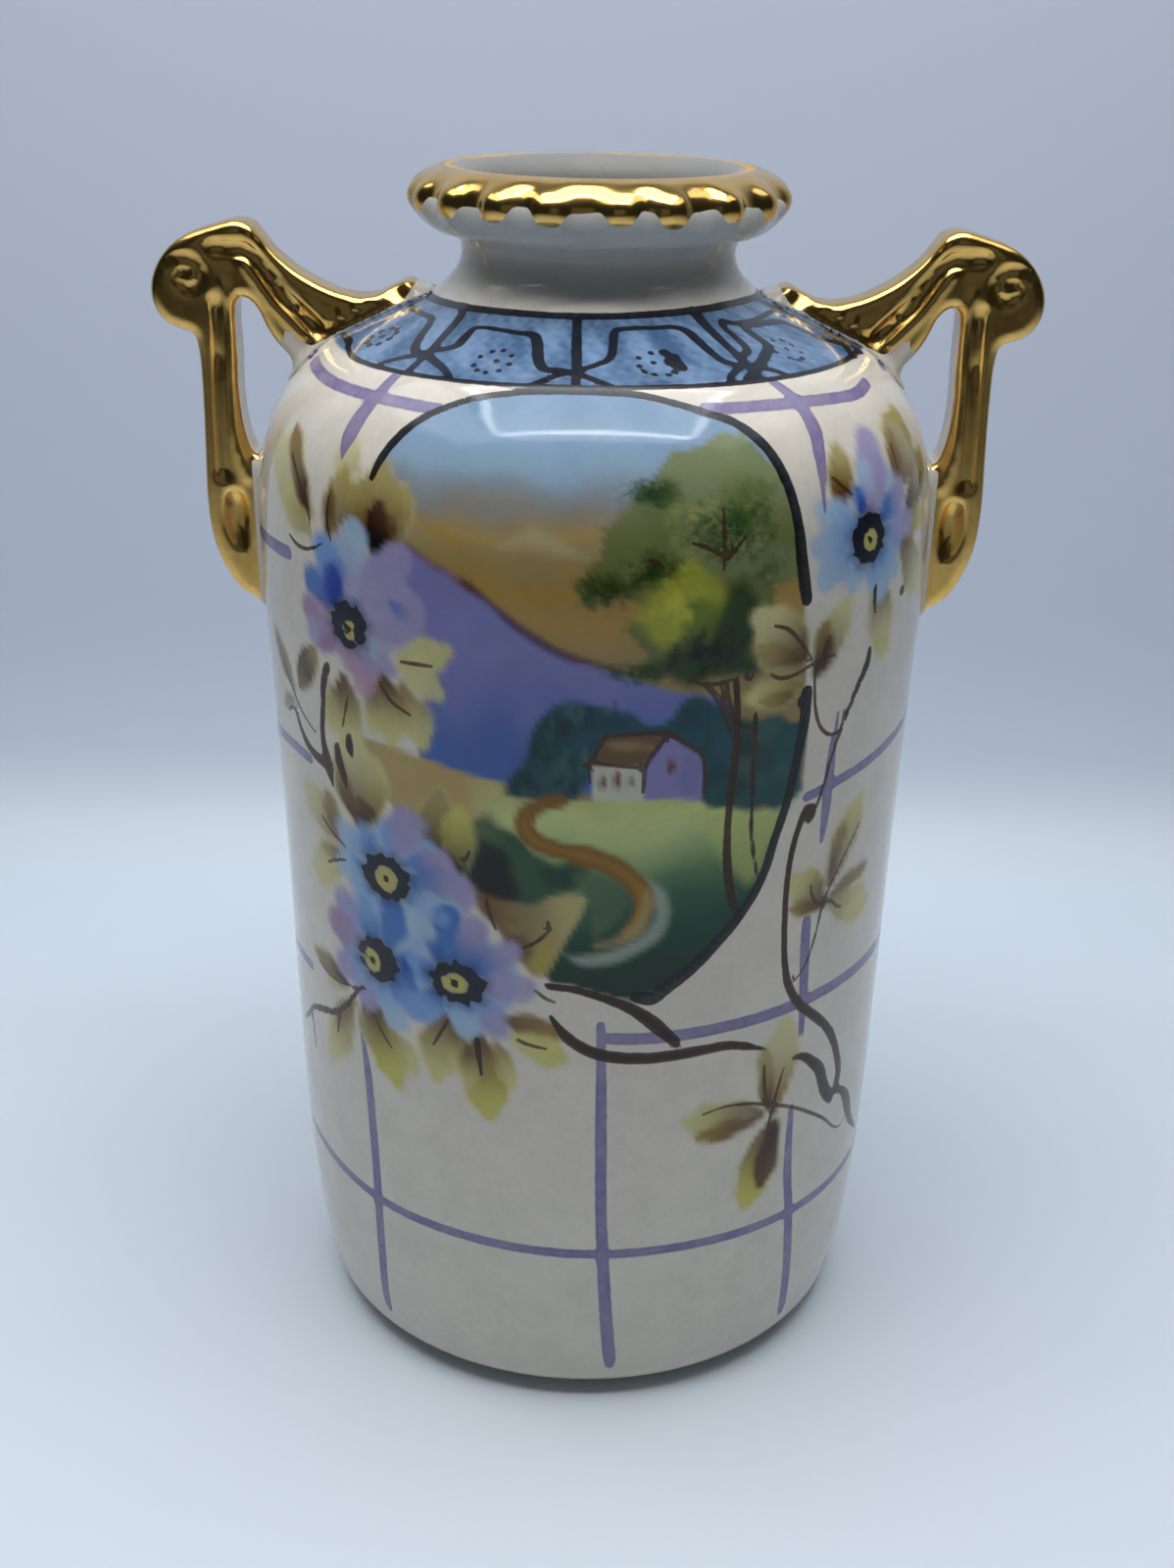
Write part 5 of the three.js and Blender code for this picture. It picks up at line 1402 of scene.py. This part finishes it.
# %% Medallion outline
brush(enamel, [(-37.2, 131), (-36.2, 133.5), (-34, 136.5), (-31, 139), (-27, 140.9), (-23, 142.3),
               (-18, 143.2), (-12, 144), (0, 144.3), (8, 143.8), (14, 142.6), (20, 141), (24.5, 139.5),
               (28, 137), (30, 134.5), (31.5, 131), (32.5, 127), (33, 123), (33.8, 119.5),
               (34.3, 117.8)],
      [0.45, 0.6, 0.6, 0.55, 0.5, 0.48, 0.48, 0.52, 0.58, 0.52, 0.5, 0.55, 0.6, 0.68, 0.68, 0.66, 0.72,
       0.85, 0.9, 0.8])
FRAME_RIGHT = [(35.9, 106), (35.9, 102), (34.8, 96), (33.8, 92), (31.8, 87), (30.1, 82.5), (26, 77.5),
               (21.9, 74.2), (17.8, 71.2), (13.7, 69), (11, 67.5), (8.2, 67.8)]
FRAME_RIGHT_HALF = [0.9, 0.85, 0.72, 0.7, 0.68, 0.68, 0.72, 0.78, 0.8, 0.9, 0.95, 0.7]
brush(enamel, FRAME_RIGHT, FRAME_RIGHT_HALF)
dot(enamel, (35.2, 104.9), 0.9)


# %% [markdown]
# The gold is brushed on last: all over the lip, whose lower edge runs in lobes from boss to boss,
# and over the handles, except their sides that face the pot, which stay bare glaze. The gold too is a
# field that rises to its edge, so its edge is sharp where the mesh is coarse.

# %% Gold
LOBES = [-50, -31, -14.4, 6.4, 21.5, 41.6, 61, 79, 97.5, 116, 134, 152.5, 171, 189.5, 207.5, 226, 244,
         262.5, 281, 292]
LOBE_WIDTH = 4.7
LOBE_FOOT = 174.6
LOBE_GAP = 176.2
GOLD_TOP = 182.5
all_around = np.degrees(np.arctan2(places[:, 0], -places[:, 1]))


def lobe_height(angles):
    """1 in the middle of a gold lobe of the lip, 0 between two."""
    height = np.zeros(len(angles))
    for lobe in LOBES:
        turn = (angles - lobe + 180) % 360 - 180
        height = np.maximum(height, np.exp(-(turn / LOBE_WIDTH) ** 4))
    return height


gold = np.full(len(places), NONE)
on_lip = np.flatnonzero((off < 0.6) & (place_up > 168) & (place_up < 188))
lip_around = all_around[on_lip]
foot_line = LOBE_GAP + (LOBE_FOOT - LOBE_GAP) * lobe_height(lip_around)
foot_line = foot_line + 0.25 * np.sin(np.radians(lip_around) * 11)
top_line = GOLD_TOP + 0.3 * np.sin(np.radians(lip_around) * 5)
gold[on_lip] = np.minimum(place_up[on_lip] - foot_line, top_line - place_up[on_lip])

GOLD_FOOT = [(39.4, 139.9), (38.2, 138.3), (36.5, 137.8), (34.8, 138.3), (33.5, 139.3), (32.1, 139.2),
             (30.1, 140.4), (27.7, 141.9), (25.3, 143.2), (23.3, 145.1), (22.6, 146.2)]
BARE_SIDE = 2.35
HANDLE_ZONE = np.array([(18, 150), (30, 160), (62, 160), (62, 98), (40, 98), (36, 130), (20, 141)])
HANDLE_HALF = 8.0
LIP_UNDERSIDE = 154.0
outer_x = np.abs(places[:, 0])
on_handle = within(HANDLE_ZONE, outer_x, places[:, 2]) & (off > 0.03) & (outer_x > 18)
on_handle &= (place_radius > 19.5) & (places[:, 2] < LIP_UNDERSIDE) & (np.abs(places[:, 1]) < HANDLE_HALF)
on_handle = np.flatnonzero(on_handle)
hx, hy, hz = np.abs(places[on_handle, 0]), np.abs(places[on_handle, 1]), places[on_handle, 2]
foot_curve = smooth_line(GOLD_FOOT, 6)
below_foot = np.vstack([foot_curve, [(18, 147), (18, 120), (41.6, 120), (41.6, 136.5)]])
foot_gap = gap_to(foot_curve, hx, hz)
above = np.where(within(below_foot, hx, hz), -foot_gap, foot_gap)
loop_side = gap_to(closed(hole), hx, hz)
outer_side = gap_to(strap[:-SUNK_POINTS], hx, hz)
facing_pot = smooth_step((outer_side - loop_side) / 2.0 + 0.5)
front_share = hy - BARE_SIDE + 6.0 * (1 - facing_pot)
leg_root = wall_gap(np.hypot(hx, places[on_handle, 1]), hz) - 0.35
gold[on_handle] = np.minimum(np.minimum(above + 0.15 * np.sin(hx * 2.1), front_share), leg_root)
on_leg = hz < 122.5
inner_leg = np.interp(hz, [100, 110, 117, 121, 123], [44.6, 44.75, 44.9, 45.0, 45.0])
gold[on_handle] = np.where(on_leg, np.minimum(gold[on_handle], hx - inner_leg), gold[on_handle])
print("gold on", int((gold > 0).sum()), "points")

# %% Bosses and gentle unevenness of the cast lip
BOSS_RISE = 1.15
BOSS_MIDDLE = 176.2
BOSS_SPREAD = 2.0
BOSS_WIDTH = 5.3
outward = np.empty(len(places) * 3)
vase.data.vertices.foreach_get("normal", outward)
outward = outward.reshape(-1, 3)
boss = np.zeros(len(places))
for lobe in LOBES:
    turn = (all_around - lobe + 180) % 360 - 180
    boss = np.maximum(boss, np.exp(-np.abs(turn / BOSS_WIDTH) ** 3))
boss *= np.exp(-((place_up - BOSS_MIDDLE) / BOSS_SPREAD) ** 2) * (off < 0.6)
write_points(vase.data, places + outward * (BOSS_RISE * boss)[:, None])

# %% The painting kept on the mesh
def keep_values(name, kind, values):
    layer = vase.data.attributes.new(name, kind, "POINT")
    numbers = np.ascontiguousarray(values, np.float32).ravel()
    layer.data.foreach_set("color" if kind == "FLOAT_COLOR" else "value", numbers)


def everywhere(values, other):
    full_list = np.full(len(places), other, np.float32)
    full_list[painted] = values
    return full_list


colours = np.ones((len(places), 4), np.float32)
colours[:, :3] = GLAZE
colours[painted, :3] = np.clip(wash, 0.0, 1.0)
# painted shade: the glaze inside the mouth is made much darker and greyer, for the shade in the throat
inside = ((off > 1.0) | (place_up > GOLD_TOP - 1.0)) & (place_radius < 19.5) & (places[:, 2] > 100)
colours[inside, :3] *= (0.33, 0.35, 0.38)
# painted light: from the neck up the glaze is made a little lighter and cooler, for the shade under the
# lip and the cool reflections there
neck_painted_light = smooth_step((place_up - 160) / 2) * (off < 0.6) * ~inside
colours[:, :3] *= 1 + neck_painted_light[:, None] * np.array([0.04, 0.10, 0.15])
keep_values("wash", "FLOAT_COLOR", colours)
keep_values("enamel", "FLOAT", everywhere(enamel, NONE))
keep_values("lilac", "FLOAT", everywhere(lilac, NONE))
keep_values("stems", "FLOAT", everywhere(brown, NONE))
keep_values("pen_offset", "FLOAT", everywhere(pen_offset, 0.0))
keep_values("pen_half", "FLOAT", everywhere(pen_half, NONE))
keep_values("foliage", "FLOAT", everywhere(foliage, 0.0))
keep_values("gold", "FLOAT", gold)
bare = np.where((places[:, 2] < 0.35) & (place_radius > 30.4) & (place_radius < 34.2), 1.0, 0.0)
keep_values("bare_clay", "FLOAT", bare)
keep_values("inside", "FLOAT", inside.astype(np.float32))

# %% [markdown]
# One fired surface carries everything, so one material mixes glaze, washes, enamels and gold by the
# values kept on the mesh. Two effects come back for every kind of paint, so each is a node group: the
# edge of a painted stroke with its pooled rim, and the mottle of colour brushed by hand.

# %% Node groups
def new_group(name, inputs, outputs):
    group = bpy.data.node_groups.new(name, "ShaderNodeTree")
    for kind, names in (("INPUT", inputs), ("OUTPUT", outputs)):
        for label, socket_type, value in names:
            socket = group.interface.new_socket(label, in_out=kind, socket_type=socket_type)
            if value is not None and kind == "INPUT":
                socket.default_value = value
    return group, group.nodes.new("NodeGroupInput"), group.nodes.new("NodeGroupOutput")


def math_node(tree, operation, first, second=None, third=None):
    node = tree.nodes.new("ShaderNodeMath")
    node.operation = operation
    for socket, value in zip(node.inputs, (first, second, third)):
        if isinstance(value, (int, float)):
            socket.default_value = value
        elif value is not None:
            tree.links.new(value, socket)
    return node.outputs[0]


def step_node(tree, value, low, high, to_low=0.0, to_high=1.0):
    node = tree.nodes.new("ShaderNodeMapRange")
    node.interpolation_type = "SMOOTHSTEP"
    for label, number in (("From Min", low), ("From Max", high), ("To Min", to_low), ("To Max", to_high)):
        if isinstance(number, (int, float)):
            node.inputs[label].default_value = number
        else:
            tree.links.new(number, node.inputs[label])
    tree.links.new(value, node.inputs["Value"])
    return node.outputs["Result"]


def mix_node(tree, share, first, second, blend="MIX"):
    node = tree.nodes.new("ShaderNodeMix")
    node.data_type = "RGBA"
    node.blend_type = blend
    for socket, value in ((node.inputs["Factor"], share), (node.inputs["A"], first),
                          (node.inputs["B"], second)):
        if isinstance(value, (int, float, tuple)):
            socket.default_value = value
        else:
            tree.links.new(value, socket)
    return node.outputs["Result"]


def noise_node(tree, place, scale, detail=3.0, rough=0.5, stretch=None):
    if stretch:
        mapping = tree.nodes.new("ShaderNodeMapping")
        mapping.inputs["Scale"].default_value = stretch
        tree.links.new(place, mapping.inputs["Vector"])
        place = mapping.outputs["Vector"]
    node = tree.nodes.new("ShaderNodeTexNoise")
    node.inputs["Scale"].default_value = scale
    node.inputs["Detail"].default_value = detail
    node.inputs["Roughness"].default_value = rough
    tree.links.new(place, node.inputs["Vector"])
    return node.outputs["Fac"]


paint_edge, edge_in, edge_out = new_group(
    "painted stroke", [("Depth", "NodeSocketFloat", None), ("Softness", "NodeSocketFloat", 0.1),
                       ("Rim", "NodeSocketFloat", 0.3)],
    [("Mask", "NodeSocketFloat", None), ("Pool", "NodeSocketFloat", None)])
lowest = math_node(paint_edge, "MULTIPLY", edge_in.outputs["Softness"], -1.0)
paint_edge.links.new(step_node(paint_edge, edge_in.outputs["Depth"], lowest, edge_in.outputs["Softness"]),
                     edge_out.inputs["Mask"])
paint_edge.links.new(step_node(paint_edge, edge_in.outputs["Depth"], 0.0, edge_in.outputs["Rim"], 1.0,
                               0.0), edge_out.inputs["Pool"])

mottle, mottle_in, mottle_out = new_group(
    "hand mottle", [("Place", "NodeSocketVector", None), ("Low", "NodeSocketFloat", 0.8),
                    ("High", "NodeSocketFloat", 1.1)],
    [("Strength", "NodeSocketFloat", None)])
broad = noise_node(mottle, mottle_in.outputs["Place"], 160.0, 4.0, 0.6)
grain = noise_node(mottle, mottle_in.outputs["Place"], 900.0, 2.0, 0.6)
mixed = math_node(mottle, "ADD", math_node(mottle, "MULTIPLY", broad, 0.65),
                  math_node(mottle, "MULTIPLY", grain, 0.35))
mottle.links.new(step_node(mottle, mixed, 0.3, 0.7, mottle_in.outputs["Low"], mottle_in.outputs["High"]),
                 mottle_out.inputs["Strength"])

# %% Painted and gilded porcelain
china = bpy.data.materials.new("painted porcelain")
china.use_nodes = True
tree = china.node_tree
shader = tree.nodes["Principled BSDF"]
place = tree.nodes.new("ShaderNodeTexCoord").outputs["Object"]


def kept(name, output="Fac"):
    node = tree.nodes.new("ShaderNodeAttribute")
    node.attribute_name = name
    return node.outputs[output]


def stroke(depth, softness, rim):
    node = tree.nodes.new("ShaderNodeGroup")
    node.node_tree = paint_edge
    tree.links.new(depth, node.inputs["Depth"])
    node.inputs["Softness"].default_value = softness
    node.inputs["Rim"].default_value = rim
    return node.outputs["Mask"], node.outputs["Pool"]


def mottled(low, high):
    node = tree.nodes.new("ShaderNodeGroup")
    node.node_tree = mottle
    tree.links.new(place, node.inputs["Place"])
    node.inputs["Low"].default_value = low
    node.inputs["High"].default_value = high
    return node.outputs["Strength"]


def scaled_colour(colour, strength):
    node = tree.nodes.new("ShaderNodeVectorMath")
    node.operation = "SCALE"
    tree.links.new(colour, node.inputs[0])
    tree.links.new(strength, node.inputs["Scale"])
    return node.outputs["Vector"]


def product(first, second):
    return math_node(tree, "MULTIPLY", first, second)


def laid_over(under, cover, paint):
    return mix_node(tree, cover, under, paint)


# %% Washes and the lilac trellis
wobble = product(math_node(tree, "SUBTRACT", noise_node(tree, place, 700.0, 2.0), 0.5), 0.22)
skin_colour = scaled_colour(kept("wash", "Color"), mottled(0.93, 1.04))

LILAC_PAINT = (0.20, 0.155, 0.34, 1.0)
LILAC_RIM = (0.13, 0.09, 0.27, 1.0)
lilac_mask, lilac_pool = stroke(math_node(tree, "ADD", kept("lilac"), wobble), 0.14, 0.45)
lilac_colour = mix_node(tree, product(lilac_pool, 0.6), LILAC_PAINT, LILAC_RIM)
skin_colour = laid_over(skin_colour, product(lilac_mask, mottled(0.76, 0.99)), lilac_colour)

# %% Dabbed foliage, pen lines and stems
LEAF_SHADOW = (0.022, 0.045, 0.026, 1.0)
flecks = step_node(tree, noise_node(tree, place, 900.0, 2.0, 0.6, (1.0, 1.0, 1.7)), 0.48, 0.60)
skin_colour = laid_over(skin_colour, product(product(flecks, kept("foliage")), 0.75), LEAF_SHADOW)

STEM_PAINT = (0.020, 0.009, 0.007, 1.0)
STEM_THIN = (0.085, 0.036, 0.016, 1.0)
PEN_BROWN = (0.060, 0.024, 0.010, 1.0)
pen_depth = math_node(tree, "SUBTRACT", kept("pen_half"), math_node(tree, "ABSOLUTE", kept("pen_offset")))
pen_mask = stroke(pen_depth, 0.10, 0.2)[0]
skin_colour = laid_over(skin_colour, product(pen_mask, mottled(0.75, 0.97)), PEN_BROWN)

stem_mask = stroke(math_node(tree, "ADD", kept("stems"), wobble), 0.1, 0.3)[0]
stem_colour = mix_node(tree, mottled(0.0, 0.75), STEM_PAINT, STEM_THIN)
skin_colour = laid_over(skin_colour, product(stem_mask, 0.96), stem_colour)

# %% Black enamel, gold and bare clay
ENAMEL_PAINT = (0.006, 0.006, 0.012, 1.0)
enamel_mask = stroke(math_node(tree, "ADD", kept("enamel"), wobble), 0.09, 0.3)[0]
skin_colour = laid_over(skin_colour, product(enamel_mask, mottled(0.93, 0.99)), ENAMEL_PAINT)

GOLD_COLOUR = (0.86, 0.55, 0.16, 1.0)
GOLD_WORN = (0.60, 0.36, 0.11, 1.0)
gold_mask = stroke(math_node(tree, "ADD", kept("gold"), wobble), 0.1, 0.5)[0]
gold_tone = mix_node(tree, mottled(0.0, 0.7), GOLD_COLOUR, GOLD_WORN)
skin_colour = laid_over(skin_colour, gold_mask, gold_tone)
CLAY = (0.62, 0.58, 0.50, 1.0)
skin_colour = laid_over(skin_colour, kept("bare_clay"), CLAY)
tree.links.new(skin_colour, shader.inputs["Base Color"])
tree.links.new(gold_mask, shader.inputs["Metallic"])

# %% Sheen and relief
GLAZE_ROUGHNESS = 0.09
PAINT_ROUGHNESS = 0.16
GOLD_ROUGHNESS = 0.18
paint_mask = math_node(tree, "MAXIMUM", enamel_mask, stem_mask)
paint_mask = math_node(tree, "MAXIMUM", paint_mask, product(lilac_mask, 0.5))
roughness = step_node(tree, paint_mask, 0.0, 1.0, GLAZE_ROUGHNESS, PAINT_ROUGHNESS)
roughness = math_node(tree, "ADD", roughness, product(gold_mask, GOLD_ROUGHNESS - GLAZE_ROUGHNESS))
roughness = product(roughness, mottled(0.85, 1.3))
for mask, matt in ((kept("bare_clay"), 0.75), (kept("inside"), 0.55)):
    roughness = math_node(tree, "MAXIMUM", roughness, product(mask, matt))
tree.links.new(roughness, shader.inputs["Roughness"])

# enamel stands a little proud, and glaze is never quite flat
height = product(enamel_mask, 0.5)
for part, share in ((stem_mask, 0.25), (lilac_mask, 0.25), (noise_node(tree, place, 110.0, 2.0), 1.3),
                    (noise_node(tree, place, 1400.0, 2.0), 0.04)):
    height = math_node(tree, "ADD", height, product(part, share))
bump = tree.nodes.new("ShaderNodeBump")
bump.inputs["Strength"].default_value = 0.35
bump.inputs["Distance"].default_value = 0.12 * MM
tree.links.new(height, bump.inputs["Height"])
tree.links.new(bump.outputs["Normal"], shader.inputs["Normal"])
shader.inputs["IOR"].default_value = 1.5
shader.inputs["Specular IOR Level"].default_value = 0.32
vase.data.materials.append(china)

# %% Hand over
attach(vase, "root")
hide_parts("vase")
vase.name = "vase_painted"
